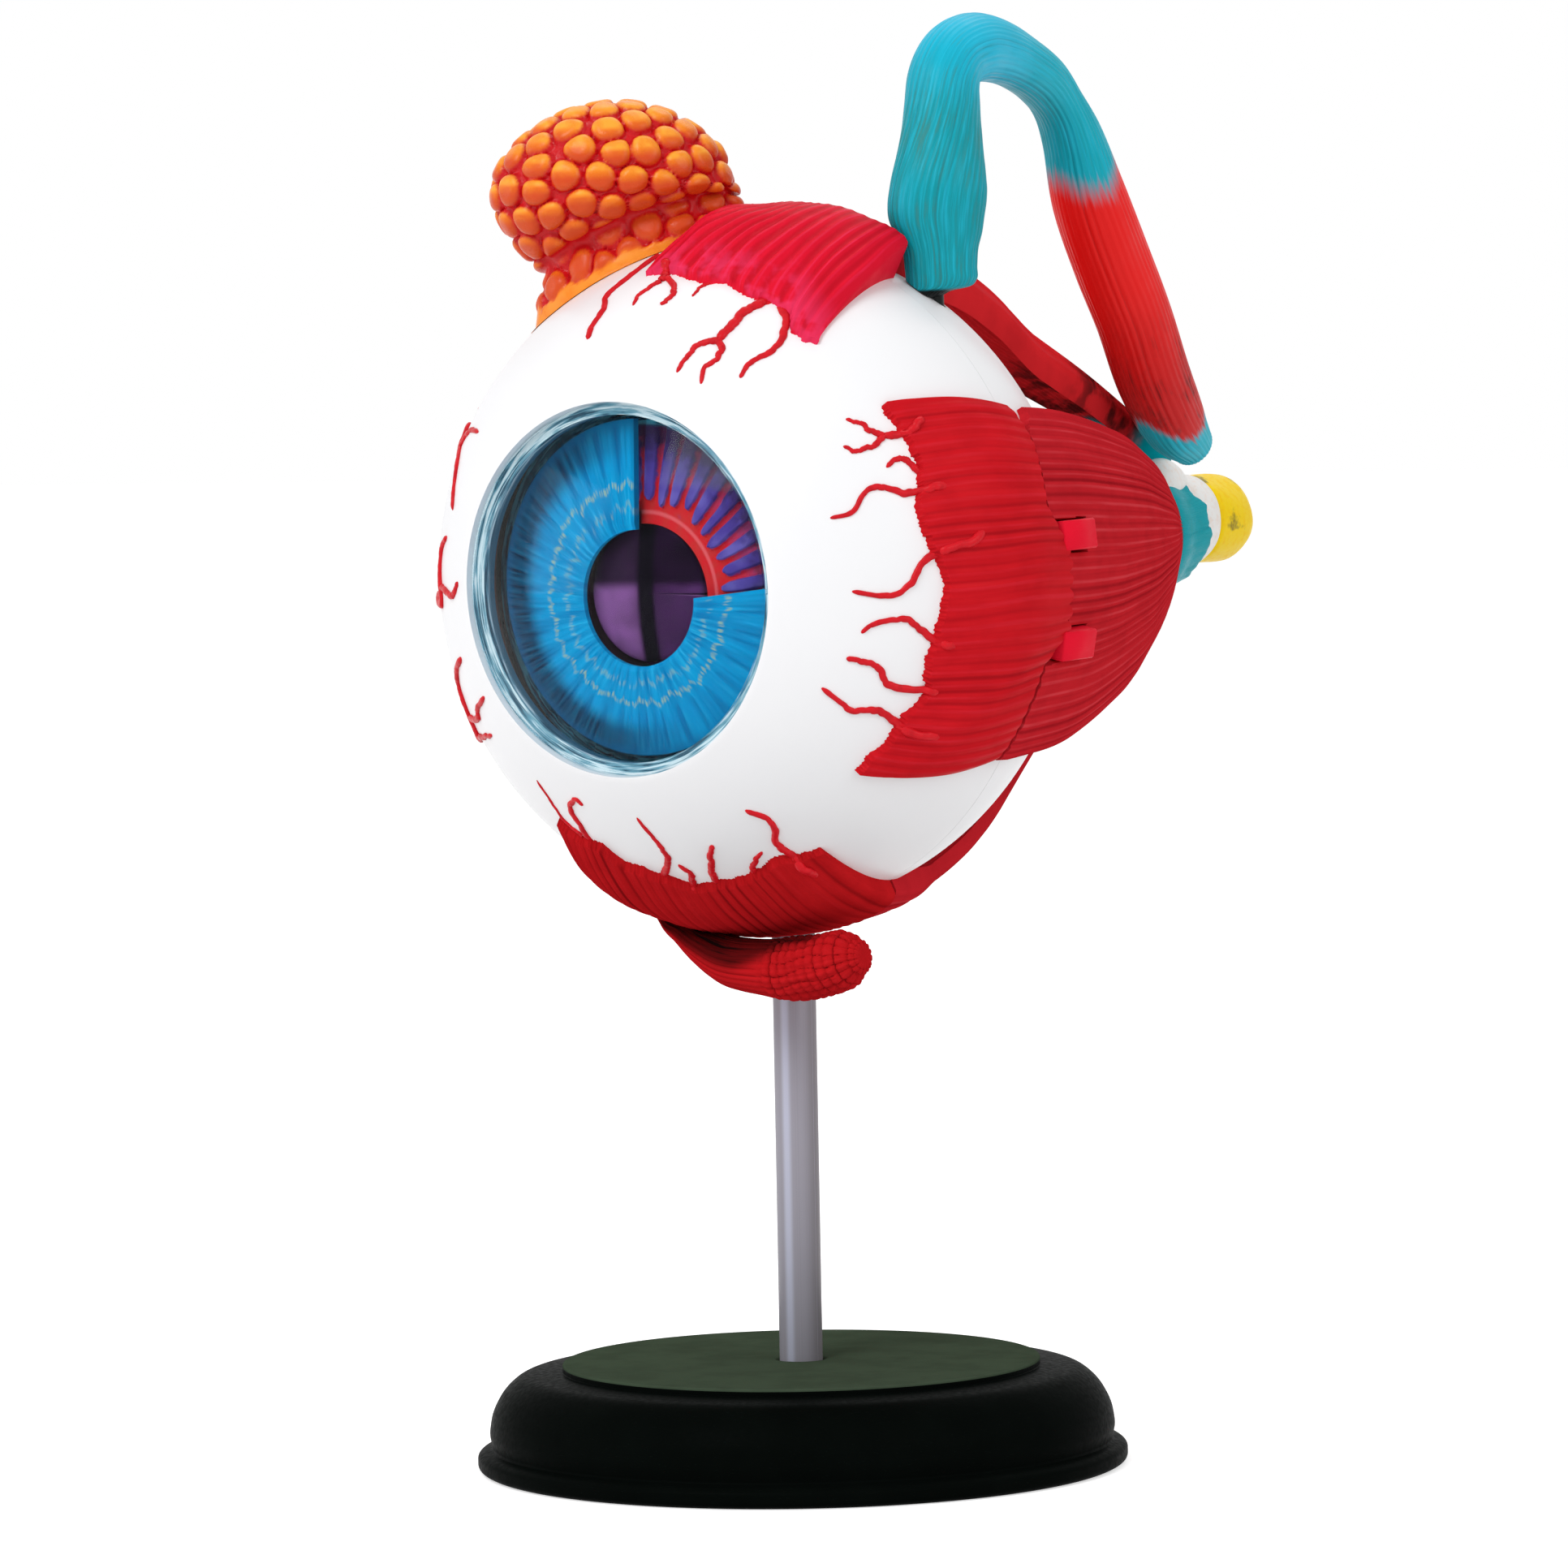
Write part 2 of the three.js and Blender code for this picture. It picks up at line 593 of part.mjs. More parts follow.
// Superior oblique: one loose piece that rises from the shell, bends over and runs to the ring.
// Points are [towards the nose, behind the centre, up], with the section's half width and half depth.
const obliqueRoute = [
  [24.2, 3.6, 32.6, 3.6, 3.2],
  [23.8, 4.8, 34.9, 4.6, 3.8],
  [23.2, 6.1, 38.0, 6.0, 4.6],
  [22.8, 5.4, 40.7, 7.0, 5.1],
  [22.3, 8.1, 43.9, 6.2, 5.0],
  [21.9, 9.5, 47.1, 5.7, 4.7],
  [21.3, 10.4, 52.4, 4.7, 4.2],
  [20.8, 11.5, 55.9, 4.2, 4.0],
  [20.4, 14.0, 58.1, 4.0, 3.9],
  [20.0, 18.3, 59.3, 4.0, 3.9],
  [19.4, 24.0, 59.0, 3.7, 3.7],
  [18.8, 29.5, 57.7, 3.3, 3.6],
  [18.2, 35.3, 55.5, 3.1, 3.5],
  [17.7, 39.4, 52.7, 2.9, 3.3],
  [17.0, 43.2, 48.9, 3.6, 3.5],
  [15.9, 48.0, 41.7, 4.7, 4.1],
  [14.8, 53.9, 34.4, 5.0, 4.2],
  [13.6, 60.2, 27.3, 4.9, 4.2],
  [12.4, 66.1, 19.6, 4.8, 4.1],
  [11.4, 71.9, 14.0, 4.2, 3.6],
  [10.8, 76.5, 11.1, 2.8, 2.6],
];

// Sweeps an oval section along a route; the section's width lies square to the route and across.
function swept(route, across, steps, sides, ribbing) {
  const places = route.map(([x, y, z]) => new THREE.Vector3(x, y, z));
  const middle = new THREE.CatmullRomCurve3(places, false, "centripetal");
  const rings = [];
  for (let i = 0; i <= steps; i++) {
    const t = i / steps;
    const point = middle.getPoint(t);
    const along = middle.getTangent(t).normalize();
    const depth = across.clone().addScaledVector(along, -across.dot(along)).normalize();
    const width = new THREE.Vector3().crossVectors(depth, along);
    const k = t * (route.length - 1);
    const k0 = Math.min(route.length - 2, Math.floor(k));
    const halfWidth = lerp(route[k0][3], route[k0 + 1][3], k - k0);
    const halfDepth = lerp(route[k0][4], route[k0 + 1][4], k - k0);
    const ring = [];
    for (let j = 0; j < sides; j++) {
      const a = (2 * Math.PI * j) / sides;
      const swell = 1 + (j % 2 ? ribbing : 0);
      const aside = point.clone().addScaledVector(width, halfWidth * swell * Math.cos(a));
      ring.push(aside.addScaledVector(depth, halfDepth * swell * Math.sin(a)));
    }
    rings.push(ring);
  }
  return lofted(rings);
}

// A peg that starts inside the shell, and the hole for it, from a point along a direction.
const peg = (from, direction, reach) => rodSolid(from, direction, reach, pegRadius, 12);
function pegHole(from, direction, before, reach) {
  const start = from.clone().addScaledVector(direction, -before);
  return rodSolid(start, direction, before + reach, pegRadius + pegFit, 16);
}
const grownBall = wholeBall(gap, 20, 56);
const clearOf = (solid, ...others) => largest(others.reduce((kept, other) => kept.subtract(other), solid));
const clearOfMuscle = (solid, m) => clearOf(solid, grownBall, frontStrip(m, gap), rearStrip(m, gap));

const towardsNose = new THREE.Vector3(1, -0.25, 0).normalize();
const [footX, footY, footZ] = obliqueRoute[0];
const obliquePegFrom = new THREE.Vector3(footX + 0.6, footY + 1.2, 0);
const obliqueShellTop = Math.sqrt(ballRadius(obliquePegFrom.y, 0) ** 2 - obliquePegFrom.x ** 2);
obliquePegFrom.z = obliqueShellTop - pegLength;
const obliquePeg = peg(obliquePegFrom, up, footZ - obliquePegFrom.z + 3);
const obliqueBody = swept(obliqueRoute, towardsNose, 30, 12, 0.05);
const superiorOblique = clearOfMuscle(obliqueBody, muscles.superior).add(obliquePeg);
scleraRear = scleraRear.subtract(pegHole(obliquePegFrom, up, gap, pegLength + cutPast));

// Inferior oblique: one loose piece slung under the eyeball ahead of the rod, pegged to the rear half.
// Points are [towards the nose, behind the centre, drop below the shell], then the half sizes.
const slungDrops = [
  [18.4, -8.4, 10.3, 2.0, 2.2],
  [17.2, -8.4, 9.8, 3.1, 3.2],
  [14.0, -8.3, 9.1, 3.5, 3.6],
  [9.5, -8.0, 8.4, 3.4, 3.6],
  [5.0, -7.6, 7.4, 3.0, 3.6],
  [0.0, -6.6, 6.8, 2.3, 3.5],
  [-5.0, -4.5, 5.7, 1.4, 3.3],
  [-9.5, -1.5, 4.8, 1.0, 3.1],
  [-13.5, 1.5, 4.7, 0.9, 2.9],
  [-17.5, 4.0, 4.3, 0.9, 2.7],
  [-20.6, 5.4, 3.0, 1.1, 2.5],
  [-21.8, 5.6, 2.2, 1.3, 2.3],
];
const shellBelow = (x, y) => -Math.sqrt(ballRadius(y, 0) ** 2 - x * x);
const slungRoute = slungDrops.map(([x, y, drop, ...halves]) => [x, y, shellBelow(x, y) - drop, ...halves]);
const [slungEndX, slungPegBack, slungEndZ] = slungRoute.at(-1);
const slungPegBearing = Math.atan2(slungEndZ, slungEndX);
const slungPegDirection = polar(1, slungPegBearing, 0);
const slungPegFrom = polar(ballRadius(slungPegBack, pegRoot - shellWall), slungPegBearing, slungPegBack);
const slungPeg = peg(slungPegFrom, slungPegDirection, shellWall + 1.8);
const slungBody = swept(slungRoute, new THREE.Vector3(0, 1, 0), 20, 10, 0.05);
const inferiorOblique = clearOfMuscle(slungBody, muscles.inferior).add(slungPeg);
scleraRear = scleraRear.subtract(pegHole(slungPegFrom, slungPegDirection, 2, cutPast));

// Lacrimal gland: rings between the left and right outline, each with a half depth.
// Each row is [half length across, sideways shift, height above the seat, half depth, rise of the right end].
const glandSeat = new THREE.Vector3(-14.5, -3.1, 34.0);
const glandAcross = new THREE.Vector3(0.811, 0.585, 0);
const glandAway = new THREE.Vector3(-0.585, 0.811, 0);
const glandRows = [
  [12.2, 1.9, -1.6, 4.8, 6.4],
  [12.0, 1.9, 1.9, 4.9, 6.0],
  [11.6, 2.2, 4.2, 5.2, 4.3],
  [12.2, 1.4, 5.6, 6.4, 3.4],
  [13.0, 0.1, 7.2, 7.8, 2.6],
  [13.8, -1.0, 9.7, 8.8, 1.3],
  [13.5, -1.4, 12.5, 9.0, 0.8],
  [12.4, -1.3, 14.9, 8.5, 0.5],
  [10.2, -1.2, 17.2, 7.4, 0.3],
  [6.9, -1.2, 19.2, 5.6, 0.2],
  [3.2, -0.9, 20.4, 2.8, 0.0],
];
const lobuleDepth = 0.45;
function glandRing(row, k, sides) {
  const [half, shift, height, depth, rise] = row;
  const ring = [];
  for (let j = 0; j < sides; j++) {
    const a = (2 * Math.PI * j) / sides;
    const bump = k > 0 ? lobuleDepth * ((j + k) % 2 ? 1 : -1) : 0;
    const x = (half + bump) * Math.cos(a) + shift;
    const z = height + rise * Math.cos(a);
    const place = glandSeat.clone().addScaledVector(glandAcross, x);
    ring.push(place.addScaledVector(glandAway, (depth + bump) * Math.sin(a)).addScaledVector(up, z));
  }
  return ring;
}
const glandBody = lofted(glandRows.map((row, k) => glandRing(row, k, 26)));
const glandPegBearing = Math.atan2(glandSeat.z, glandSeat.x);
const glandPegDirection = polar(1, glandPegBearing, 0);
const glandPegFrom = polar(ballRadius(glandSeat.y, pegRoot - shellWall), glandPegBearing, glandSeat.y);
const glandPeg = peg(glandPegFrom, glandPegDirection, shellWall + 3);
const glandHole = pegHole(glandPegFrom, glandPegDirection, 2, cutPast);
const gland = clearOfMuscle(glandBody, muscles.superior).add(glandPeg);

// Front half: shell with the cornea's seat, lining, ciliary body, iris, lens and cornea

const openingAhead = ballAhead(openingRadius, 0);
const innerOffset = -shellWall;
const seatBackRadius = seatRadius + 2.2;
let scleraFront = turned([
  ...ballArc(frontFace, -openingAhead, 0, 8),
  [corneaRadius + gap, -corneaSeat - 0.3],
  [corneaRadius + gap, -corneaSeat],
  [seatRadius, -corneaSeat],
  [seatRadius, -corneaSeat + seatWall],
  [seatBackRadius, -corneaSeat + seatWall],
  ...ballArc(-ballAhead(seatBackRadius + 0.6, innerOffset), frontFace, innerOffset, 6),
], shellSegments);
scleraFront = clearOf(scleraFront, glandHole);

const liningFrontStart = spigotFront - gap;
const liningReach = ciliaryOuter + gap;
const liningInside = liningOffset - liningWall;
const liningLip = -ballAhead(liningReach + 1.2, liningInside);
const choroidFront = turned([
  ...ballArc(liningFrontStart, -ballAhead(liningReach + 1.2, liningOffset), liningOffset, 5),
  [liningReach, liningLip],
  ...ballArc(liningLip + 1.2, liningFrontStart, liningInside, 5),
], liningSegments);

// The ciliary body's folds fan out between the red band and its outer rim.
const ciliaryRim = corneaSeat - seatWall - gap; // its outer edge stands behind the cornea's seat
const irisBackInner = irisPupilFront - irisWall - gap;
const irisBackOuter = irisRimFront - irisWall - gap;
function ciliaryFront(r) {
  const share = (r - pupilRadius) / (irisRadius - pupilRadius);
  return lerp(irisBackInner, irisBackOuter, share) - ciliaryFold - 0.1;
}
const ciliarySides = 2 * ciliaryFolds;
function ciliaryRing(r, ahead, fold) {
  const ring = [];
  for (let j = 0; j < ciliarySides; j++) {
    ring.push(polar(r, (2 * Math.PI * j) / ciliarySides, -(ahead + (j % 2 ? fold : 0))));
  }
  return ring;
}
const ciliaryRings = [
  ciliaryRing(ciliaryInner, ciliaryBack, 0),
  ciliaryRing(ciliaryInner, ciliaryFront(ciliaryInner), 0),
  ciliaryRing(ciliaryBand, ciliaryFront(ciliaryBand), 0),
  ciliaryRing(ciliaryBand + 0.6, ciliaryFront(ciliaryBand), ciliaryFold),
  ciliaryRing(ciliaryFoldEnd, ciliaryFront(ciliaryFoldEnd), ciliaryFold),
  ciliaryRing(ciliaryOuter, ciliaryRim - 0.9, 0),
  ciliaryRing(ciliaryOuter, ciliaryBack + 1.2, 0),
];

// A ring-shaped solid through rings that close on themselves.
function looped(rings) {
  const count = rings[0].length;
  const position = [];
  for (const ring of rings) for (const point of ring) position.push(...point.toArray());
  const index = [];
  for (let i = 0; i < rings.length; i++) {
    const next = (i + 1) % rings.length;
    for (let j = 0; j < count; j++) {
      const k = (j + 1) % count;
      const [a, b] = [i * count, next * count];
      index.push(a + j, a + k, b + k, a + j, b + k, b + j);
    }
  }
  const geometry = new THREE.BufferGeometry();
  geometry.setAttribute("position", new THREE.Float32BufferAttribute(position, 3));
  geometry.setIndex(index);
  return solidOf(geometry);
}
const ciliary = looped(ciliaryRings);

// The iris is a shallow cone with the quarter from the nose side to the top left out.
const iris = slab(2, 30, (u, v, outer) => {
  const r = lerp(pupilRadius, irisRadius, u);
  const a = irisCutAngle + v * (2 * Math.PI - irisCutAngle);
  const ahead = lerp(irisPupilFront, irisRimFront, u) - (outer ? 0 : irisWall);
  return polar(r, a, -ahead);
});

const lensFrontArc = lensArc(lensFrontRise, lensRadius, 4, 0).map(([r, d]) => [r, -(lensRim + d)]);
const lensBackArc = lensArc(lensBackRise, lensRadius, 4, 0).map(([r, d]) => [r, -(lensRim - d)]);
const lens = turned([...lensBackArc.reverse(), ...lensFrontArc.slice(1)], liningSegments);

function domeArc(rise, reach, lift) {
  return lensArc(rise, reach, 5, lift).map(([r, d]) => [r, -(corneaSeat + gap + d)]);
}
const corneaOuter = domeArc(corneaRise, corneaRadius, 0.9);
const corneaInner = domeArc(corneaRise - 0.4, corneaRadius - corneaWall, 0.2);
const cornea = turned([
  ...corneaInner.reverse(),
  [corneaRadius - corneaWall, -(corneaSeat + gap)],
  [corneaRadius, -(corneaSeat + gap)],
  ...corneaOuter,
], shellSegments);

// Assembly

const red = (key, side) => muscles[key][side + "Colour"];
rearHalf.add(
  named("sclera_rear", scleraRear, 0xf4f3f1, 0.25),
  named("choroid_rear", choroidRear, 0x6a2a1c, 0.5),
  named("retina_rear", retinaRear, 0xe9a06a, 0.45),
  named("vitreous_body", vitreous, 0xeaf4f6, 0.08, { transparent: true, opacity: 0.35 }),
  named("optic_nerve_sheath", turned(sheathProfile, 24), 0xf2f0ea, 0.4),
  named("optic_nerve_core", turned(coreProfile, 24), 0xf2dc12, 0.4),
  named("tendon_ring", turned(ringProfile, 24), 0x1f9fb4, 0.45),
);
frontHalf.add(
  named("sclera_front", scleraFront, 0xf7f6f4, 0.22),
  named("choroid_front", choroidFront, 0x6a2a1c, 0.5),
  named("ciliary_body", ciliary, 0xa23a78, 0.4),
  named("iris", iris, 0x1590d2, 0.35),
  named("lens", lens, 0x2a1636, 0.1),
  named("cornea", cornea, 0xdff2f8, 0.05, { transparent: true, opacity: 0.3 }),
);
for (const key of Object.keys(muscles)) {
  frontHalf.add(named(key + "_rectus_front", frontPieces[key], red(key, "front"), 0.4));
  rearHalf.add(named(key + "_rectus_rear", rearPieces[key], red(key, "rear"), 0.4));
}
rearHalf.add(named("superior_oblique", superiorOblique, 0x1c9eb6, 0.4));
rearHalf.add(named("inferior_oblique", inferiorOblique, 0xc81c26, 0.4));
frontHalf.add(named("lacrimal_gland", gland, 0xe67a1e, 0.4));

export default model;
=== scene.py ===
"""Dresses a take-apart eye anatomy model, about three times life size, on its rod stand.

Each operator builds one piece, or one group of like pieces, over the fixed frame. Shapes are worked out
in millimetres in the eye's own axes: X towards the nose, Y behind the eyeball's centre, Z up.
"""

import math

import bmesh
import bpy
import numpy as np
from mathutils import Matrix, Vector


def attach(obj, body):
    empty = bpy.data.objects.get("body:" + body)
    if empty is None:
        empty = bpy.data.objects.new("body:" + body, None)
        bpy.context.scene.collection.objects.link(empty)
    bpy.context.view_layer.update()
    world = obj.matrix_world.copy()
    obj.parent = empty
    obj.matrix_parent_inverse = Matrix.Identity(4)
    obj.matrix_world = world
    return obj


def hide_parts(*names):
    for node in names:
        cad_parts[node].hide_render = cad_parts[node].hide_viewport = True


bl_info = {
    "name": "Eye anatomy model",
    "version": (1, 0, 0),
    "blender": (4, 5, 0),
    "location": "View3D > Sidebar > Eye model",
    "description": "Builds the pieces and finishes of a take-apart eye anatomy model on a rod stand",
    "category": "Add Mesh",
}

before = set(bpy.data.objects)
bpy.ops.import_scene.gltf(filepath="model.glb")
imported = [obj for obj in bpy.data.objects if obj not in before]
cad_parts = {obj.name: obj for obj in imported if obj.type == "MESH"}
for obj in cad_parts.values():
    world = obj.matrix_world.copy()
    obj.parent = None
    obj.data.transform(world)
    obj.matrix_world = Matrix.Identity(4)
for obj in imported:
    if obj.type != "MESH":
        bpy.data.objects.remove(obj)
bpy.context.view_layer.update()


# Sizes and colours that a user would change


def length(name, words, value):
    size = value / 1000
    return bpy.props.FloatProperty(name=name, description=words, default=size, unit="LENGTH", precision=5)


def heading(name, words, degrees):
    turn = math.radians(degrees)
    return bpy.props.FloatProperty(name=name, description=words, default=turn, subtype="ANGLE")


def colour(name, words, value):
    return bpy.props.FloatVectorProperty(
        name=name, description=words, default=value, size=3, min=0, max=1, subtype="COLOR"
    )


class EyeSizes(bpy.types.PropertyGroup):
    """Sizes of the eyeball and its pieces."""

    globe_radius: length("Globe radius", "Radius of the eyeball across the gaze", 38.66)
    globe_half_length: length("Globe half length", "Half length of the eyeball along the gaze", 31.94)
    eye_height: length("Eye height", "Centre of the eyeball above the table", 103.4)
    rod_behind_centre: length("Rod behind centre", "The rod stands this far behind the centre", 6.2)
    gaze_tilt: heading("Gaze tilt", "The gaze drops by this angle", 1.89)
    shell_wall: length("Shell wall", "Thickness of the white shell", 2.6)
    parting_back: length("Parting", "Parting plane of the two halves, behind the centre", 1.05)
    pupil_radius: length("Pupil radius", "Radius of the opening in the iris", 7.7)
    iris_radius: length("Iris radius", "Outer radius of the iris", 18.9)
    cornea_radius: length("Cornea radius", "Radius of the clear dome's foot", 20.7)
    cornea_seat: length("Cornea seat", "The dome's foot stands this far ahead of the centre", 25.0)
    cornea_rise: length("Cornea rise", "Height of the clear dome over its foot", 5.6)
    lens_radius: length("Lens radius", "Radius of the lens", 9.4)
    lens_rim: length("Lens rim", "Rim of the lens, ahead of the centre", 15.4)
    rib_depth: length("Rib depth", "Height of the muscle fibres", 0.24)
    lobule_height: length("Lobule height", "Height of the gland's lobules", 1.15)
    lobule_size: length("Lobule size", "Spacing of the gland's lobules", 2.8)
    vessel_root: length("Vessel root", "Radius of a surface vessel where it leaves its muscle", 0.52)
    vessel_tip: length("Vessel tip", "Radius of a surface vessel at its tip", 0.16)
    rod_radius: length("Rod radius", "Radius of the stand's rod", 2.5)
    base_height: length("Base height", "Height of the stand's base", 12.3)
    base_rim_radius: length("Base rim radius", "Radius of the base's foot rim", 37.7)
    base_top_radius: length("Base top radius", "Radius of the raised disc on the base", 27.7)


class EyeColours(bpy.types.PropertyGroup):
    """Paint and plastic colours, as they render."""

    sclera: colour("White shell", "Glossy white plastic", (0.86, 0.86, 0.875))
    muscle_front: colour("Front muscle", "Bright red paint of the front pieces", (0.54, 0.008, 0.014))
    muscle_top: colour("Upper front muscle", "Brighter red of the upper front piece", (0.68, 0.008, 0.028))
    muscle_tab: colour("Tabs", "Bright red of the tabs", (0.78, 0.009, 0.030))
    muscle_rear: colour("Rear muscle", "Red paint of the rear pieces", (0.52, 0.016, 0.024))
    # Pale pink on the muscles is partly rubbed paint and partly a painted highlight
    muscle_rub_and_highlight: colour("Worn and highlighted muscle", "Pink where the paint is rubbed on crests", (0.84, 0.05, 0.16))
    muscle_deep: colour("Deep muscle", "Dark red in the grooves", (0.20, 0.004, 0.008))
    tendon: colour("Tendon", "Teal paint of the tendons", (0.002, 0.31, 0.36))
    tendon_deep: colour("Deep tendon", "Dark teal in the grooves", (0.002, 0.10, 0.14))
    nerve: colour("Nerve", "Yellow paint of the optic nerve", (0.90, 0.63, 0.004))
    nerve_white: colour("Nerve sheath", "White paint of the nerve's sheath", (0.84, 0.82, 0.80))
    gland: colour("Gland", "Orange paint of the lobules", (0.80, 0.185, 0.010))
    # painted highlight on the lobules' tops
    gland_highlight: colour("Gland highlights", "Pale orange on top of the lobules", (0.93, 0.36, 0.03))
    gland_groove: colour("Gland grooves", "Red paint between the lobules", (0.58, 0.006, 0.010))
    vessel: colour("Vessels", "Red paint of the raised vessels", (0.62, 0.008, 0.016))
    iris: colour("Iris", "Blue paint of the iris", (0.0, 0.33, 0.66))
    iris_pale: colour("Iris streaks", "Pale blue streaks", (0.02, 0.50, 0.80))
    iris_deep: colour("Iris depths", "Deep blue between the folds", (0.0, 0.14, 0.36))
    iris_ring: colour("Iris ring", "Yellowish line of the iris's inner ring", (0.42, 0.50, 0.30))
    ciliary_band: colour("Ciliary band", "Red paint of the ciliary band", (0.76, 0.012, 0.020))
    ciliary_fold: colour("Ciliary folds", "Violet paint of the ciliary folds", (0.085, 0.045, 0.30))
    lens: colour("Lens", "Dark violet plastic", (0.016, 0.003, 0.028))
    choroid: colour("Choroid", "Dark red brown lining", (0.16, 0.030, 0.018))
    retina: colour("Retina", "Orange lining", (0.80, 0.36, 0.17))
    base: colour("Base", "Near black plastic of the base", (0.0016, 0.0024, 0.0020))
    # The disc's paler colour is partly its own tone and partly a painted sheen of its upward face
    base_disc: colour("Base disc", "Slightly paler raised disc", (0.050, 0.072, 0.046))
    rod: colour("Rod", "Pale satin metal", (0.327, 0.314, 0.361))


class EyeStage(bpy.types.PropertyGroup):
    """Camera, light and floor."""

    camera_place: bpy.props.FloatVectorProperty(
        name="Camera place",
        description="Camera position",
        default=(0.52553, -0.72940, 0.12491),
        size=3,
        subtype="TRANSLATION",
        unit="LENGTH",
    )
    camera_azimuth: heading("Camera azimuth", "Heading of the view round the upright axis", 35.82)
    camera_drop: heading("Camera drop", "The view looks down by this angle", 2.92)
    camera_roll: heading("Camera roll", "Turn round the line of sight", -1.08)
    lens_length: bpy.props.FloatProperty(
        name="Lens length", description="Focal length on a 36 mm wide sensor", default=178.79, unit="CAMERA"
    )
    room_light: bpy.props.FloatProperty(name="Room light", description="Strength of the world", default=0.54)
    key_light: bpy.props.FloatProperty(
        name="Key light", description="Light of the soft main lamp", default=4.3, unit="POWER"
    )
    fill_light: bpy.props.FloatProperty(
        name="Fill light", description="Light of the side lamp", default=2.1, unit="POWER"
    )
    floor_colour: colour("Floor", "Plain pale floor", (0.86, 0.86, 0.86))


def mm(name):
    """A size from the settings, in millimetres."""
    return getattr(bpy.context.scene.eye_sizes, name) * 1000


def paint(name):
    """A colour from the settings."""
    return tuple(getattr(bpy.context.scene.eye_colours, name))


# Shape helpers

GAP = 0.3  # between pieces that part from each other
AXIS_HOLE = 0.02  # profiles stop this close to the axis that they are turned about


def lerp(a, b, t):
    return a + (b - a) * t


def ease(a, b, x):
    t = np.clip((x - a) / (b - a), 0, 1)
    return t * t * (3 - 2 * t)


def table(rows, x):
    """Straight-line value of rows of (x, value) at x."""
    rows = sorted(rows)
    return np.interp(x, [r[0] for r in rows], [r[1] for r in rows])


def scatter(index, salt=0.0):
    """A fixed value from 0 to 1 for each whole number."""
    return np.mod(np.sin(np.asarray(index) * 12.9898 + salt * 78.233) * 43758.5453, 1.0)


def wander(x, salt=0.0):
    """A smooth wave from about -1 to 1 that does not repeat soon."""
    return (
        np.sin(x * 1.0 + salt) * 0.5
        + np.sin(x * 2.17 + salt * 2.3 + 1.1) * 0.3
        + np.sin(x * 4.73 + salt * 3.1 + 2.7) * 0.2
    )


def ball_halves(offset=0.0):
    """Half sizes of the eyeball, grown by an offset, along X, Y and Z."""
    return np.array([mm("globe_radius"), mm("globe_half_length"), mm("globe_radius")]) + offset


def ball_radius(ahead, offset=0.0):
    """Radius of the eyeball, grown by an offset, at a distance ahead of or behind its centre."""
    share = np.clip(np.abs(ahead) / (mm("globe_half_length") + offset), 0, 1)
    return (mm("globe_radius") + offset) * np.sqrt(1 - share * share)


def ball_ahead(radius, offset=0.0):
    share = np.clip(np.abs(radius) / (mm("globe_radius") + offset), 0, 1)
    return (mm("globe_half_length") + offset) * np.sqrt(1 - share * share)


def ball_arc(y0, y1, offset, steps):
    """Profile points (radius, y) along the eyeball, grown by an offset."""
    whole = mm("globe_half_length") + offset
    t0 = math.acos(max(-1, min(1, -y0 / whole)))
    t1 = math.acos(max(-1, min(1, -y1 / whole)))
    t = np.linspace(t0, t1, steps + 1)
    return list(zip((mm("globe_radius") + offset) * np.sin(t), -whole * np.cos(t)))


def polar(radius, degrees, y):
    angle = np.radians(degrees)
    return np.stack(np.broadcast_arrays(radius * np.cos(angle), y, radius * np.sin(angle)), axis=-1)


def spoke(bearing, back, *heights):
    """Points on a line square to the gaze, at heights over the eyeball's face."""
    return [polar(ball_radius(back) + height, bearing, back) for height in heights]


def gaze_turn():
    """Cosine and sine of the gaze's drop."""
    tilt = bpy.context.scene.eye_sizes.gaze_tilt
    return math.cos(tilt), math.sin(tilt)


def into_row(points):
    """Points in the eye's axes, in millimetres, as metres in the stand's axes."""
    x, y, z = np.asarray(points, float).reshape(-1, 3).T
    c, s = gaze_turn()
    placed = [x, y * c - z * s - mm("rod_behind_centre"), y * s + z * c + mm("eye_height")]
    return np.stack(placed, axis=1) / 1000


def upright(points):
    """Points in the stand's axes, in millimetres, as metres."""
    return np.asarray(points, float).reshape(-1, 3) / 1000


def grid_faces(rows, cols, around=False):
    """Four-sided faces of a grid of points, row by row; around joins the last column to the first."""
    i, j = np.meshgrid(np.arange(rows - 1), np.arange(cols if around else cols - 1), indexing="ij")
    a = i * cols + j
    b = i * cols + (j + 1) % cols
    return np.stack([a, b, b + cols, a + cols], axis=-1).reshape(-1, 4).tolist()


def closed_tube(rings, sides):
    """Faces of rings of points joined into a tube, with both ends closed."""
    last = (rings - 1) * sides
    ends = [list(range(sides))[::-1], list(range(last, last + sides))]
    return grid_faces(rings, sides, around=True) + ends


def out_of_ball(points, offset):
    """Moves points that lie inside the grown eyeball out to its surface."""
    norm = np.linalg.norm(points / ball_halves(offset), axis=-1)[..., None]
    return np.where(norm < 1, points / np.maximum(norm, 1e-6), points)


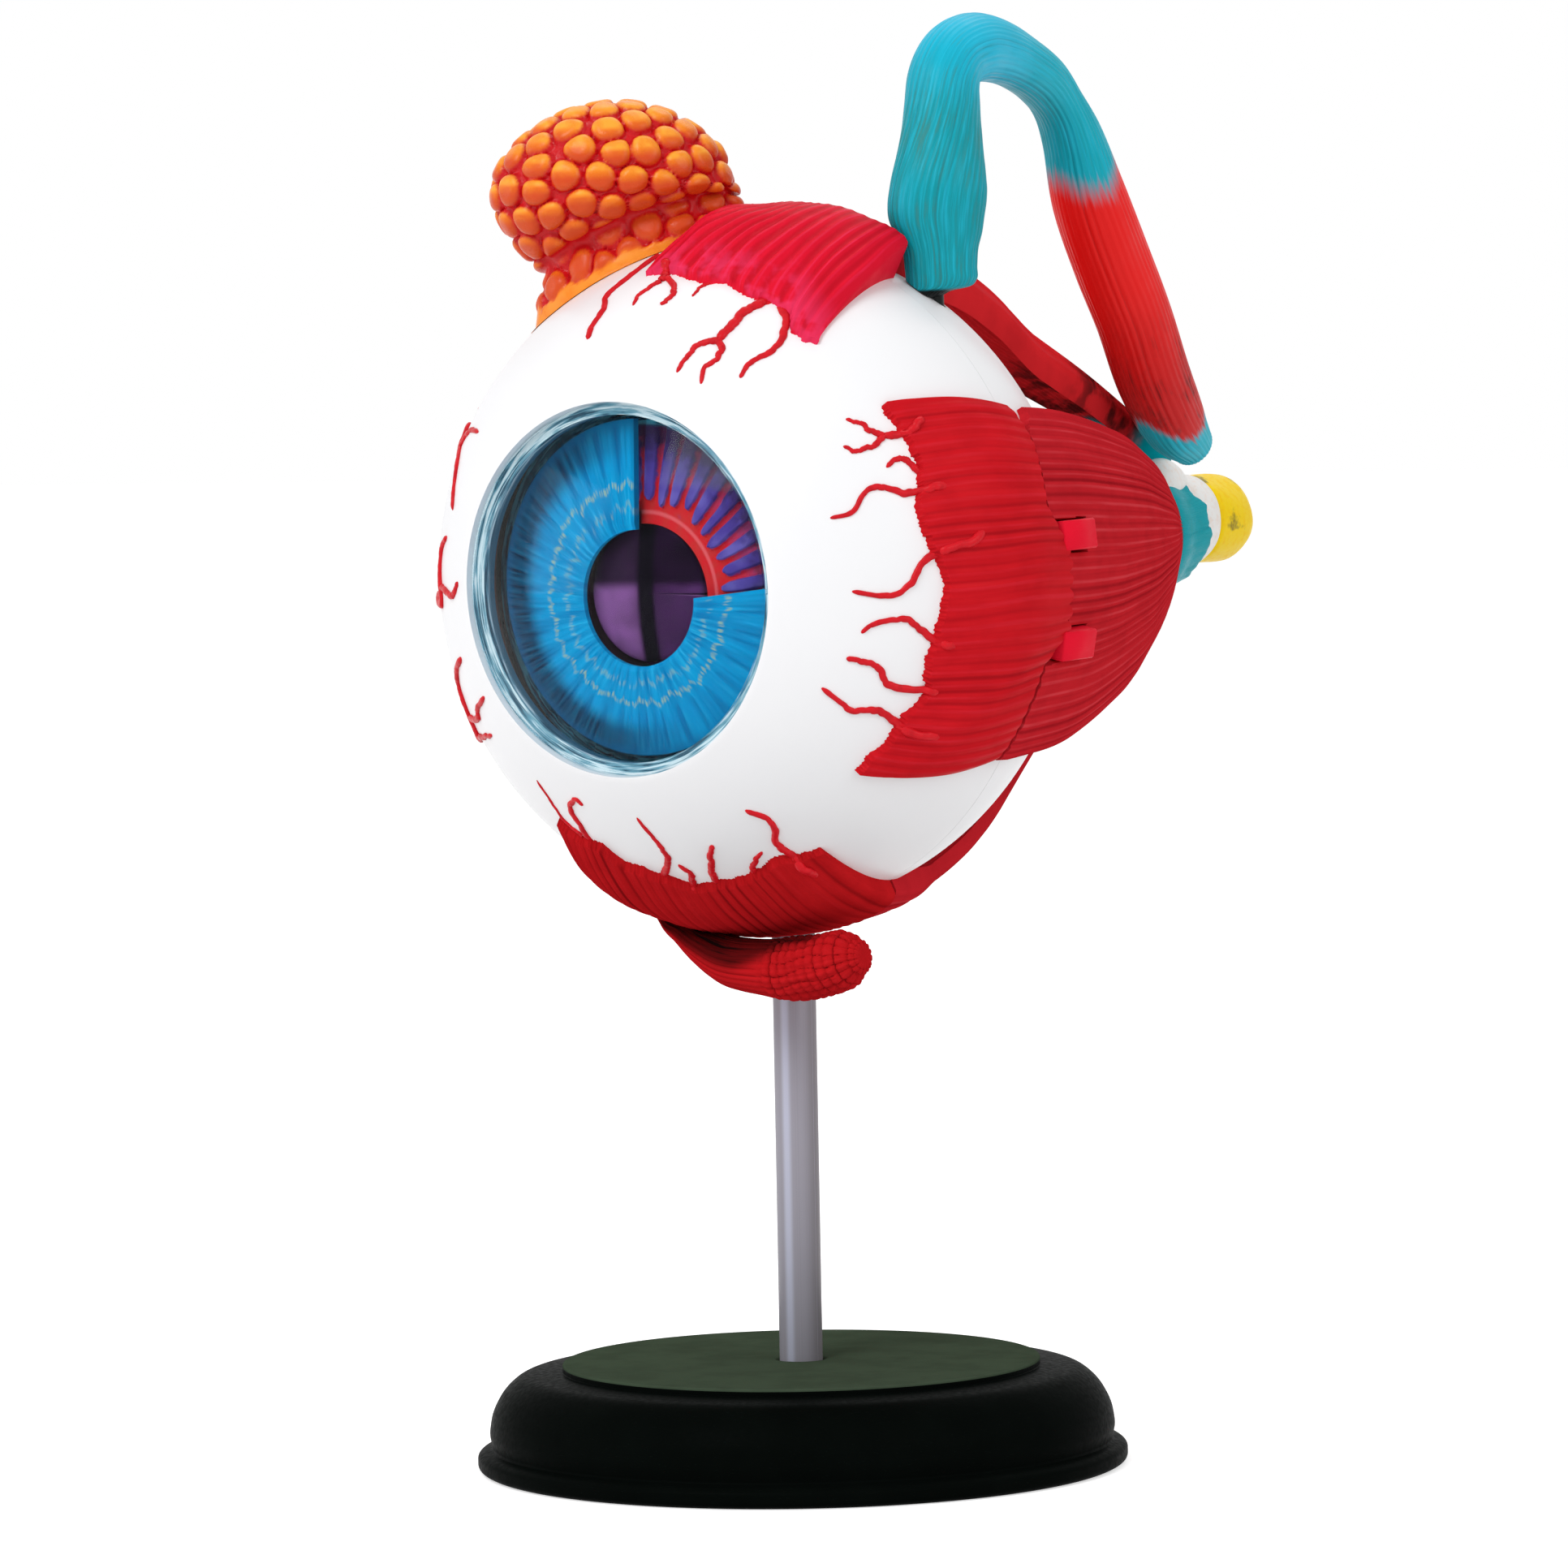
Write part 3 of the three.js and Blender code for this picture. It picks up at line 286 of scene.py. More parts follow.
def smooth_route(route, steps):
    """Points of a smooth line through the rows of a route; the further columns are carried along."""
    rows = np.array(route, float)
    rows = np.vstack([2 * rows[0] - rows[1], rows, 2 * rows[-1] - rows[-2]])
    out = []
    for t in np.linspace(0, len(route) - 1, steps + 1):
        k = min(int(t), len(route) - 2)
        w = t - k
        p = rows[k : k + 4]
        gaps = [max(np.linalg.norm(p[n + 1, :3] - p[n, :3]) ** 0.5, 1e-4) for n in range(3)]
        d0, d1, d2 = gaps
        m1 = ((p[1] - p[0]) / d0 - (p[2] - p[0]) / (d0 + d1) + (p[2] - p[1]) / d1) * d1
        m2 = ((p[2] - p[1]) / d1 - (p[3] - p[1]) / (d1 + d2) + (p[3] - p[2]) / d2) * d1
        c2 = -3 * p[1] + 3 * p[2] - 2 * m1 - m2
        c3 = 2 * p[1] - 2 * p[2] + m1 + m2
        out.append(p[1] + m1 * w + c2 * w * w + c3 * w**3)
    return np.array(out)


# Mesh helpers


def build(name, sections, material, body, replaces=(), place=into_row, sharp=38):
    """One object from sections of (points, faces, grain); grain is a vector per point for the finish."""
    points, faces, grain = [], [], []
    first = 0
    for part_points, part_faces, part_grain in sections:
        part_points = np.asarray(part_points, float).reshape(-1, 3)
        points.append(part_points)
        faces += [[first + v for v in face] for face in part_faces]
        grain.append(np.asarray(part_grain, float).reshape(-1, 3))
        first += len(part_points)
    mesh = bpy.data.meshes.new(name)
    mesh.from_pydata(place(np.concatenate(points)).tolist(), [], faces)
    kept = mesh.attributes.new("grain", "FLOAT_VECTOR", "POINT")
    kept.data.foreach_set("vector", np.concatenate(grain).ravel())
    work = bmesh.new()
    work.from_mesh(mesh)
    bmesh.ops.recalc_face_normals(work, faces=work.faces)
    work.to_mesh(mesh)
    work.free()
    mesh.shade_smooth()
    mesh.set_sharp_from_angle(angle=math.radians(sharp))
    mesh.materials.append(material)
    piece = bpy.data.objects.new(name, mesh)
    bpy.context.scene.collection.objects.link(piece)
    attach(piece, body)
    if replaces:
        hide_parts(*replaces)
    return piece


def turned(profile, segments, upwards=False, wobble=None):
    """A section turned about the gaze axis, or about the upright axis, from (radius, along) points."""
    profile = np.array(profile, float)
    angle = np.linspace(0, 2 * np.pi, segments, endpoint=False)
    radius = np.repeat(profile[:, :1], segments, axis=1)
    along = np.repeat(profile[:, 1:2], segments, axis=1)
    if wobble:
        radius, along = wobble(radius, along, angle[None, :])
    flat = [radius * np.cos(angle), radius * np.sin(angle)]
    if upwards:
        points = np.stack([flat[0], flat[1], along], axis=-1)
    else:
        points = np.stack([flat[0], along, flat[1]], axis=-1)
    faces = grid_faces(len(profile), segments, around=True)
    grain = np.stack([np.degrees(angle)[None, :] + 0 * radius, along, radius], axis=-1)
    return points, faces, grain


def ringed(profile, segments, **more):
    """As turned, for a profile that closes on itself."""
    return turned(list(profile) + [profile[0]], segments, **more)


def rounded_profile(points, radius, steps=4):
    """A profile with its inner corners rounded; points with a third value keep their own radius."""
    out = [points[0][:2]]
    for before, here, after in zip(points, points[1:], points[2:]):
        r = here[2] if len(here) > 2 else radius
        a, b, c = (np.array(p[:2], float) for p in (before, here, after))
        u, v = a - b, c - b
        lu, lv = np.linalg.norm(u), np.linalg.norm(v)
        cut = min(r, lu * 0.45, lv * 0.45)
        start, end = b + u / lu * cut, b + v / lv * cut
        for t in np.linspace(0, 1, steps + 1):
            out.append(tuple((1 - t) ** 2 * start + 2 * t * (1 - t) * b + t * t * end))
    out.append(points[-1][:2])
    return out


def tube(centre, radii, up, sides=8, flat=0.8):
    """A tapered round tube along points; up gives the outward direction at each point."""
    centre = np.asarray(centre, float)
    along = np.gradient(centre, axis=0)
    along /= np.linalg.norm(along, axis=1, keepdims=True)
    side = np.cross(along, up)
    side /= np.linalg.norm(side, axis=1, keepdims=True)
    out = np.cross(side, along)
    angle = np.linspace(0, 2 * np.pi, sides, endpoint=False)[:, None]
    radii = np.asarray(radii, float)[:, None, None]
    ring = side[:, None] * np.cos(angle) + flat * out[:, None] * np.sin(angle)
    points = (centre[:, None, :] + radii * ring).reshape(-1, 3)
    return points, closed_tube(len(centre), sides), np.zeros_like(points)


PEG_RADIUS, PEG_HOLE = 1.3, 1.5
PEG_SINK = 2.2
HOLE_REACH = 6.0  # a peg hole's cutter reaches this far to both sides of the shell's face


def peg(ends, up, grain=(0, 0, 0)):
    """A round peg between two points; up is square to it."""
    points, faces, _ = tube(ends, [PEG_RADIUS] * 2, np.array([up] * 2), 20, 1.0)
    return points, faces, np.tile(grain, (len(points), 1))


def cut_with(piece, *cutters):
    """Takes the cutters' room out of a piece and removes them."""
    bpy.context.view_layer.update()
    for cutter in cutters:
        change = piece.modifiers.new("cut", "BOOLEAN")
        change.operation = "DIFFERENCE"
        change.solver = "EXACT"
        change.object = cutter
    made = bpy.data.meshes.new_from_object(piece.evaluated_get(bpy.context.evaluated_depsgraph_get()))
    made.name = piece.data.name
    piece.modifiers.clear()
    piece.data = made
    made.set_sharp_from_angle(angle=math.radians(30))
    for cutter in cutters:
        bpy.data.objects.remove(cutter)


def round_cutter(foot, top, radius):
    """A loose cylinder between two points in the eye's axes, in millimetres."""
    foot, top = (Vector(p) for p in into_row([foot, top]))
    mesh = bpy.data.meshes.new("cutter")
    work = bmesh.new()
    size = radius / 1000
    bmesh.ops.create_cone(
        work, cap_ends=True, segments=48, radius1=size, radius2=size, depth=(top - foot).length
    )
    work.to_mesh(mesh)
    work.free()
    cutter = bpy.data.objects.new("cutter", mesh)
    bpy.context.scene.collection.objects.link(cutter)
    turn = (top - foot).to_track_quat("Z", "Y").to_matrix().to_4x4()
    cutter.matrix_world = Matrix.Translation((foot + top) / 2) @ turn
    return cutter


# Finish helpers


class Tone:
    """A number that varies over a surface; sums and products of tones add nodes to its tree."""

    def __init__(self, socket):
        self.socket = socket
        self.tree = socket.id_data

    def worked(self, kind, other=0.0):
        made = self.tree.nodes.new("ShaderNodeMath")
        made.operation = kind
        feed(self.tree, made.inputs[0], self)
        feed(self.tree, made.inputs[1], other)
        return Tone(made.outputs[0])

    def __add__(self, other):
        return self.worked("ADD", other)

    def __sub__(self, other):
        return self.worked("SUBTRACT", other)

    def __mul__(self, other):
        return self.worked("MULTIPLY", other)

    def __truediv__(self, other):
        return self.worked("DIVIDE", other)

    def __abs__(self):
        return self.worked("ABSOLUTE")

    def most(self, other):
        return self.worked("MAXIMUM", other)

    def span(self, low, high, to_low=0.0, to_high=1.0):
        """The tone eased from one range to another."""
        made = put(self.tree, "ShaderNodeMapRange", {"Value": self}, interpolation_type="SMOOTHSTEP")
        for key, number in (("From Min", low), ("From Max", high), ("To Min", to_low), ("To Max", to_high)):
            made.inputs[key].default_value = number
        return Tone(made.outputs["Result"])

    def brushed(self, streak, amount):
        """The tone moved to and fro by a noise."""
        return self + (streak - 0.5) * amount


def feed(tree, socket, value):
    """Links a tone or a node's output to a socket, or sets the socket to a number or colour."""
    if isinstance(value, Tone):
        value = value.socket
    if isinstance(value, bpy.types.NodeSocket):
        tree.links.new(value, socket)
    elif socket.type == "RGBA":
        socket.default_value = (*value, 1)
    else:
        socket.default_value = value


def put(tree, kind, inputs=None, **settings):
    """A new node with its settings, and with its inputs set or linked."""
    made = tree.nodes.new(kind)
    for key, value in settings.items():
        setattr(made, key, value)
    for key, value in (inputs or {}).items():
        feed(tree, made.inputs[key], value)
    return made


def shows(tree, *rays):
    """One where a ray is of one of the kinds named."""
    path = put(tree, "ShaderNodeLightPath")
    kinds = [Tone(path.outputs["Is %s Ray" % ray]) for ray in rays]
    seen = kinds[0]
    for kind in kinds[1:]:
        seen = seen.most(kind)
    return seen


def mixed(tree, factor, first, second, output):
    """Ends a tree in a mix of two of its shaders."""
    mix = put(tree, "ShaderNodeMixShader", {"Fac": factor})
    tree.links.new(first.outputs[0], mix.inputs[1])
    tree.links.new(second.outputs[0], mix.inputs[2])
    tree.links.new(mix.outputs[0], tree.nodes[output].inputs["Surface"])


class Finish:
    """A paint, plastic or metal under way, with its nodes."""

    def __init__(self, name, base, roughness, specular=0.12, metallic=0.0):
        self.material = bpy.data.materials.new(name)
        self.material.use_nodes = True
        self.tree = self.material.node_tree
        self.shader = self.tree.nodes["Principled BSDF"]
        self.place = None
        feed(self.tree, self.shader.inputs["Base Color"], base)
        self.shader.inputs["Roughness"].default_value = roughness
        self.shader.inputs["Metallic"].default_value = metallic
        self.shader.inputs["Specular IOR Level"].default_value = specular

    def grain(self):
        """The piece's own grain: three numbers for each point."""
        read = put(self.tree, "ShaderNodeAttribute", attribute_name="grain", attribute_type="GEOMETRY")
        split = put(self.tree, "ShaderNodeSeparateXYZ", {"Vector": read.outputs["Vector"]})
        return [Tone(split.outputs[axis]) for axis in "XYZ"]

    def noise(self, vector, scale, detail, rough=0.55):
        inputs = {"Vector": vector, "Scale": scale, "Detail": detail, "Roughness": rough}
        return Tone(put(self.tree, "ShaderNodeTexNoise", inputs).outputs["Fac"])

    def speckle(self, scale, detail, rough=0.55):
        """Noise over places in millimetres, in the stand's axes."""
        if self.place is None:
            spot = put(self.tree, "ShaderNodeTexCoord")
            scaled = put(self.tree, "ShaderNodeVectorMath", {"Scale": 1000.0}, operation="SCALE")
            self.tree.links.new(spot.outputs["Object"], scaled.inputs[0])
            self.place = scaled.outputs[0]
        return self.noise(self.place, scale, detail, rough)

    def streaked(self, across, along, stretch, scale, detail):
        """Noise drawn out along the fibres."""
        joined = put(self.tree, "ShaderNodeCombineXYZ", {"X": across, "Y": along * stretch})
        return self.noise(joined.outputs["Vector"], scale, detail)

    def blend(self, factor, first, second):
        """A colour between two; each is a colour or the output of another blend."""
        made = put(self.tree, "ShaderNodeMix", data_type="RGBA")
        for index, value in ((0, factor), (6, first), (7, second)):
            feed(self.tree, made.inputs[index], value)
        return made.outputs[2]

    def done(self, body, noise, low, high, height=None, depth=0.0, strength=0.5):
        """The material: its colour, a roughness that varies with a noise and a bump in millimetres."""
        feed(self.tree, self.shader.inputs["Base Color"], body)
        feed(self.tree, self.shader.inputs["Roughness"], noise.span(0.3, 0.7, low, high))
        if height:
            inputs = {"Height": height, "Distance": depth / 1000, "Strength": strength}
            bump = put(self.tree, "ShaderNodeBump", inputs)
            self.tree.links.new(bump.outputs["Normal"], self.shader.inputs["Normal"])
        return self.material


def finish_sclera():
    """White plastic; the cornea's seat is painted with pale, blue and dark navy streaks that run round it, as
    painted reflections and painted shade under the clear dome.
    """
    f = Finish("glossy white shell", paint("sclera"), 0.34, 0.25)
    cloud = f.speckle(0.12, 4)
    tint = f.blend(cloud.span(0.35, 0.75, 0.0, 0.3), paint("sclera"), (0.84, 0.845, 0.865))
    bearing, along, radius = f.grain()
    # painted reflections and painted shade: streaks round the seat, deepening to dark navy further in
    streak = f.streaked(radius - along, bearing, 0.022, 2.0, 5)
    brushed = f.blend(streak.span(0.42, 0.52), (0.80, 0.85, 0.88), (0.14, 0.34, 0.44))
    brushed = f.blend(streak.span(0.52, 0.60), brushed, (0.012, 0.07, 0.12))
    brushed = f.blend(along.span(-24.6, -23.9), brushed, (0.008, 0.10, 0.17))
    seat = radius.span(20.95, 21.05, 1.0, 0.0) * along.span(-22.0, -21.0, 1.0, 0.0)
    tint = f.blend(seat, tint, brushed)
    return f.done(tint, f.speckle(0.9, 5), 0.30, 0.38, f.speckle(1.6, 4), 0.006, 0.4)


def finish_muscle(name, base, deep, pale, rub, sheen=0.36, extra=None, specular=0.02):
    """Painted fibres: deep in the grooves, pale on the crests where the paint is rubbed and as a painted
    highlight, streaked along their length.
    """
    f = Finish(name, base, sheen, specular)
    across, along, crest = f.grain()
    streak = f.streaked(across, along, 0.035, 1.7, 4)
    mottle = f.speckle(0.25, 3)
    body = f.blend(streak.span(0.40, 0.72, 0.0, 0.4), base, tuple(min(1, 1.25 * c + 0.003) for c in base))
    body = f.blend(mottle.span(0.40, 0.70, 0.0, 0.3), body, tuple(0.75 * c for c in base))
    body = f.blend(crest.span(0.0, 0.55, 0.6, 0.0), body, deep)
    # the crests' pale pink is partly rubbed paint and partly a painted highlight
    body = f.blend(crest.span(0.86, 1.0) * streak.span(0.40, 0.65, 0.3 * rub, rub), body, pale)
    body = f.blend(crest.span(1.4, 1.6), body, paint("muscle_tab"))
    if extra:
        body = extra(f, body, (across, along, crest), streak, mottle)
    return f.done(body, mottle, sheen - 0.08, sheen + 0.12, streak, 0.07)


def finish_ring():
    """Teal paint of the tendon ring, streaked along the nerve."""
    f = Finish("teal ring paint", paint("tendon"), 0.36, 0.05)
    across, along, crest = f.grain()
    streak = f.streaked(across, along, 0.12, 1.6, 4)
    mottle = f.speckle(0.45, 3)
    body = f.blend(streak.span(0.4, 0.75, 0.0, 0.5), paint("tendon"), (0.03, 0.42, 0.52))
    body = f.blend(mottle.span(0.5, 0.75, 0.0, 0.45), body, (0.03, 0.27, 0.27))
    body = f.blend(crest.span(0.0, 0.4, 0.7, 0.0), body, paint("tendon_deep"))
    return f.done(body, mottle, 0.30, 0.46, streak, 0.14)


def finish_oblique():
    """Teal at both ends and red between, brushed into each other along the fibres."""
    f = Finish("teal and red muscle paint", paint("tendon"), 0.34, 0.12)
    across, along, crest = f.grain()
    streak = f.streaked(across, along, 0.06, 2.4, 4)
    mottle = f.speckle(0.25, 3)
    here = along.brushed(streak, 5.0)
    # 0 at one edge of the ribbon, 1 at the other
    side = abs(across - OBLIQUE_RIBS / 2) / (OBLIQUE_RIBS / 2)
    middle = abs(side - 0.5)
    start = reach(SUPERIOR_ROUTE, RED_STARTS) - 1.7
    end = reach(SUPERIOR_ROUTE, RED_ENDS)
    bend = reach(SUPERIOR_ROUTE, BEND_ROW)
    ground = f.blend(along.span(bend - 10, bend + 2), (0.002, 0.28, 0.33), (0.006, 0.46, 0.66))
    ground = f.blend(along.span(bend + 6, bend + 22), ground, (0.002, 0.40, 0.50))
    teal = f.blend(streak.span(0.42, 0.72, 0.0, 0.5), ground, (0.02, 0.52, 0.72))
    olive = streak.span(0.34, 0.50, 1.0, 0.0) * mottle.span(0.40, 0.6, 0.1, 0.55)
    teal = f.blend(olive * along.span(bend - 4, bend + 3, 1.0, 0.3), teal, (0.05, 0.19, 0.16))
    teal = f.blend(crest.span(0.0, 0.5, 0.3, 0.0), teal, paint("tendon_deep"))
    red = f.blend(here.span(start + 12, end - 4), (0.84, 0.011, 0.010), (0.56, 0.008, 0.009))
    red = f.blend(crest.span(0.0, 0.5, 0.3, 0.0), red, (0.28, 0.005, 0.006))
    early = here + middle * 7.0
    late = here + side.span(0.0, 0.45, 6.5, 0.0)
    in_red = early.span(start - 2.4, start + 2.4) * late.span(end, end + 2.2, 1.0, 0.0)
    body = f.blend(in_red, teal, red)
    shade = here.span(start + 14, end - 2) * streak.span(0.36, 0.56, 0.9, 0.0)
    shade = shade * late.span(end - 1, end + 1, 1.0, 0.0)
    body = f.blend(shade * mottle.span(0.4, 0.6), body, (0.03, 0.008, 0.008))
    # painted shadow: the peg and the foot's lowest end are painted near black where the foot meets the
    # eyeball
    foot_shadow = crest.span(-0.7, -0.4, 1.0, 0.0).most(along.span(0.8, 1.2, 1.0, 0.0))
    body = f.blend(foot_shadow, body, (0.004, 0.006, 0.006))
    return f.done(body, mottle, 0.30, 0.46, streak, 0.12)


def finish_gland():
    """Orange lobules with a painted highlight at their tops and painted shade, redder, below, in red grooves.
    """
    f = Finish("orange gland paint", paint("gland"), 0.3, 0.2)
    drop, _, crest = f.grain()
    mottle = f.speckle(0.5, 4)
    fine = f.speckle(3.0, 3)
    body = f.blend(mottle.span(0.4, 0.65, 0.0, 0.6), paint("gland"), (0.70, 0.09, 0.008))
    # painted highlight at the lobules' tops, painted shade redder below
    body = f.blend(drop.span(-0.02, 0.26) * mottle.span(0.38, 0.6, 0.45, 1.0), body, paint("gland_highlight"))
    body = f.blend(drop.span(-0.36, 0.10, 0.85, 0.0), body, (0.60, 0.050, 0.010))
    body = f.blend(crest.brushed(fine, 0.3).span(0.30, 0.72, 1.0, 0.0), body, paint("gland_groove"))
    return f.done(body, mottle, 0.24, 0.40, fine, 0.05)


def finish_vessel():
    f = Finish("red vessel paint", paint("vessel"), 0.35)
    mottle = f.speckle(0.8, 3)
    body = f.blend(mottle.span(0.4, 0.7, 0.0, 0.5), paint("vessel"), (0.40, 0.004, 0.010))
    return f.done(body, mottle, 0.28, 0.45)


def finish_nerve(name, base, stains):
    f = Finish(name, base, 0.4)
    wide = f.speckle(0.22, 4, 0.6)
    fine = f.speckle(1.4, 4)
    darker = tuple(c * k for c, k in zip(base, (0.98, 0.80, 0.7)))
    body = f.blend(fine.span(0.45, 0.75, 0.0, 0.6), base, darker)
    body = f.blend(wide.span(0.60, 0.70, 0.0, stains), body, (0.12, 0.10, 0.02))
    return f.done(body, fine, 0.32, 0.5, fine, 0.12)


def finish_iris():
    """Blue paint with radial streaks, a wavy yellowish inner ring, a deep rim and painted shade on the rim
    towards the temple and below.
    """
    f = Finish("blue iris paint", paint("iris"), 0.4, 0.01)
    bearing, relief, radius = f.grain()
    streak = f.streaked(bearing * 0.42, radius, 0.10, 1.6, 4)
    coarse = f.streaked(bearing * 0.16, radius, 0.05, 1.3, 2)
    body = f.blend(coarse.span(0.38, 0.62, 0.0, 0.75), paint("iris"), (0.0, 0.22, 0.50))
    body = f.blend(streak.span(0.52, 0.70) * radius.span(8.5, 14.5, 0.85, 0.35), body, paint("iris_pale"))
    body = f.blend(relief.span(-0.7, -0.1, 0.55, 0.0), body, paint("iris_deep"))
    folds = streak.span(0.36, 0.47, 0.8, 0.0) * radius.span(8.0, 12.8, 1.0, 0.3)
    body = f.blend(folds, body, (0.0, 0.16, 0.42))
    waved = radius.brushed(coarse, 3.4)
    for middle, strength in ((12.3, 0.7), (9.9, 0.35)):
        line = abs(waved - middle).span(0.10, 0.50, strength, 0.0) * streak.span(0.44, 0.56)
        body = f.blend(line, body, paint("iris_ring"))
    # painted shade: the rim is darker towards the temple and below
    shade = abs(bearing - 190.0).span(55.0, 110.0, 1.0, 0.0) * radius.span(14.2, 16.6)
    body = f.blend(shade * streak.span(0.3, 0.6, 1.0, 0.75), body, (0.002, 0.022, 0.055))
    body = f.blend(radius.span(17.6, 18.8, 0.0, 0.45), body, paint("iris_deep"))
    return f.done(body, coarse, 0.32, 0.5, streak, 0.14, 0.6)


def finish_ciliary():
    """A red band, then violet folds on red ground that darken outwards, with painted reflection streaks and
    painted shade at the rim and painted shade under the iris.
    """
    f = Finish("red and violet ciliary paint", paint("ciliary_band"), 0.38, 0.05)
    bearing, fold, radius = f.grain()
    mottle = f.speckle(1.1, 4)
    streak = f.streaked(bearing, radius, 0.4, 0.6, 3)
    ground = f.blend(mottle.span(0.4, 0.7, 0.0, 0.6), paint("ciliary_band"), (0.62, 0.04, 0.03))
    ground = f.blend(abs(radius - 9.5).span(0.05, 0.35, 0.6, 0.0), ground, (0.95, 0.16, 0.18))
    rows = radius.span(11.5, 14.5) * streak.span(0.35, 0.6, 0.25, 0.75)
    ground = f.blend(rows, ground, (0.30, 0.05, 0.20))
    violet = f.blend(streak.span(0.4, 0.7), paint("ciliary_fold"), (0.17, 0.12, 0.46))
    body = f.blend(fold.brushed(mottle, 1.4).span(0.18, 0.66), ground, violet)
    body = f.blend(radius.brushed(mottle, 5.0).span(13.4, 17.6, 0.0, 0.92), body, (0.030, 0.010, 0.050))
    # painted reflection streaks and painted shade on the outer rim beside the clear dome's edge
    lane = f.streaked(radius, bearing, 0.25, 2.2, 5)
    rim = f.blend(lane.span(0.42, 0.52), (0.06, 0.30, 0.42), (0.003, 0.10, 0.18))
    rim = f.blend(lane.span(0.54, 0.62), rim, (0.0, 0.025, 0.06))
    body = f.blend(radius.span(18.2, 18.8), body, rim)
    body = f.blend(radius.span(7.4, 8.2, 1.0, 0.0), body, (0.010, 0.002, 0.004))
    # painted shade where the folds lie under the iris
    under = bearing.span(10.1, 10.6) * radius.span(9.4, 10.4, 1.0, 0.0)
    body = f.blend(under, body, (0.020, 0.004, 0.010))
    return f.done(body, mottle, 0.3, 0.46, mottle, 0.08)


def finish_lens():
    """Dark violet plastic with a painted reflection: lighter below the middle and split by an upright dark
    band.
    """
    f = Finish("dark lens plastic", paint("lens"), 0.08, 0.02)
    f.shader.inputs["Specular Tint"].default_value = (0.62, 0.30, 0.85, 1)
    bearing, _, radius = f.grain()
    turn = bearing * (math.pi / 180)
    right = radius * turn.worked("COSINE")
    above = radius * turn.worked("SINE")
    # painted reflection: lighter violet below the middle, cut by an upright dark band
    low = above.span(0.2, 1.6, 1.0, 0.12) * abs(right - 0.4).span(0.7, 1.6)
    low = low * f.speckle(0.16, 2).span(0.3, 0.7, 0.45, 1.0)
    violet = f.blend(right.span(-2.0, 2.0), (0.30, 0.10, 0.32), (0.12, 0.03, 0.14))
    feed(f.tree, f.shader.inputs["Base Color"], f.blend(low, (0.002, 0.001, 0.003), violet))
    return f.material


def finish_clear(name, tint, ior, rough=0.0):
    """Clear plastic that lets the lamps through to what lies under it."""
    f = Finish(name, tint, rough, 0.06)
    f.shader.inputs["Transmission Weight"].default_value = 1.0
    f.shader.inputs["IOR"].default_value = ior
    through = put(f.tree, "ShaderNodeBsdfTransparent", {"Color": tint})
    mixed(f.tree, shows(f.tree, "Shadow", "Diffuse"), f.shader, through, "Material Output")
    return f.material


def finish_plain(name, base, roughness, spot, bump, scale, shift, specular=0.1):
    """A moulded or painted face with a fine grain."""
    f = Finish(name, base, roughness, specular)
    fine = f.speckle(scale, 5)
    wide = f.speckle(scale * 0.08, 3)
    body = f.blend(wide.span(0.35, 0.7, 0.0, spot), base, tuple(c * shift for c in base))
    return f.done(body, fine, roughness * 0.85, roughness * 1.2, fine, bump)


def finish_rod():
    """Satin metal drawn lengthwise into streaks, with a painted highlight lane on one side and painted shade
    round the far side.
    """
    f = Finish("satin rod metal", paint("rod"), 0.36, 0.1, metallic=0.05)
    bearing, along, _ = f.grain()
    lanes = f.streaked(bearing * 0.25, along, 0.004, 1.2, 3)
    # painted highlight along one lane, painted shade round the far side
    bright = abs(bearing - ROD_HIGHLIGHT_BEARING)
    body = f.blend(lanes.span(0.40, 0.65, 0.0, 0.35), paint("rod"), (0.29, 0.275, 0.31))
    body = f.blend(bright.span(40.0, 85.0, 0.0, 0.75), body, (0.21, 0.19, 0.205))
    body = f.blend(bright.span(3.0, 18.0, 1.0, 0.0), body, (0.48, 0.49, 0.60))
    return f.done(body, lanes, 0.3, 0.44, lanes, 0.01, 0.4)


# Straight muscles

MUSCLE_TIP = 0.8
REST_CREST = 0.7  # crest height at which a fibre neither rises nor sinks
REAR_MUSCLE = 2.0
RING_FRONT = 78.0
RING_BACK = 85.8
RING_FRONT_RADIUS = 8.4
RING_BACK_RADIUS = 6.9
SIDE_SHAPE = [(0, 1), (0.16, 0.94), (0.32, 0.82), (0.51, 0.65), (0.76, 0.35), (0.89, 0.16), (1, 0)]
TOP_SHAPE = [
    (0, 1), (0.12, 0.95), (0.28, 0.853), (0.44, 0.673), (0.51, 0.557), (0.72, 0.338), (0.857, 0.177), (1, 0),
]
UNDER_SHAPE = [(0, 1), (0.165, 0.968), (0.3, 0.89), (0.42, 0.78), (0.585, 0.53), (0.8, 0.22), (1, 0)]
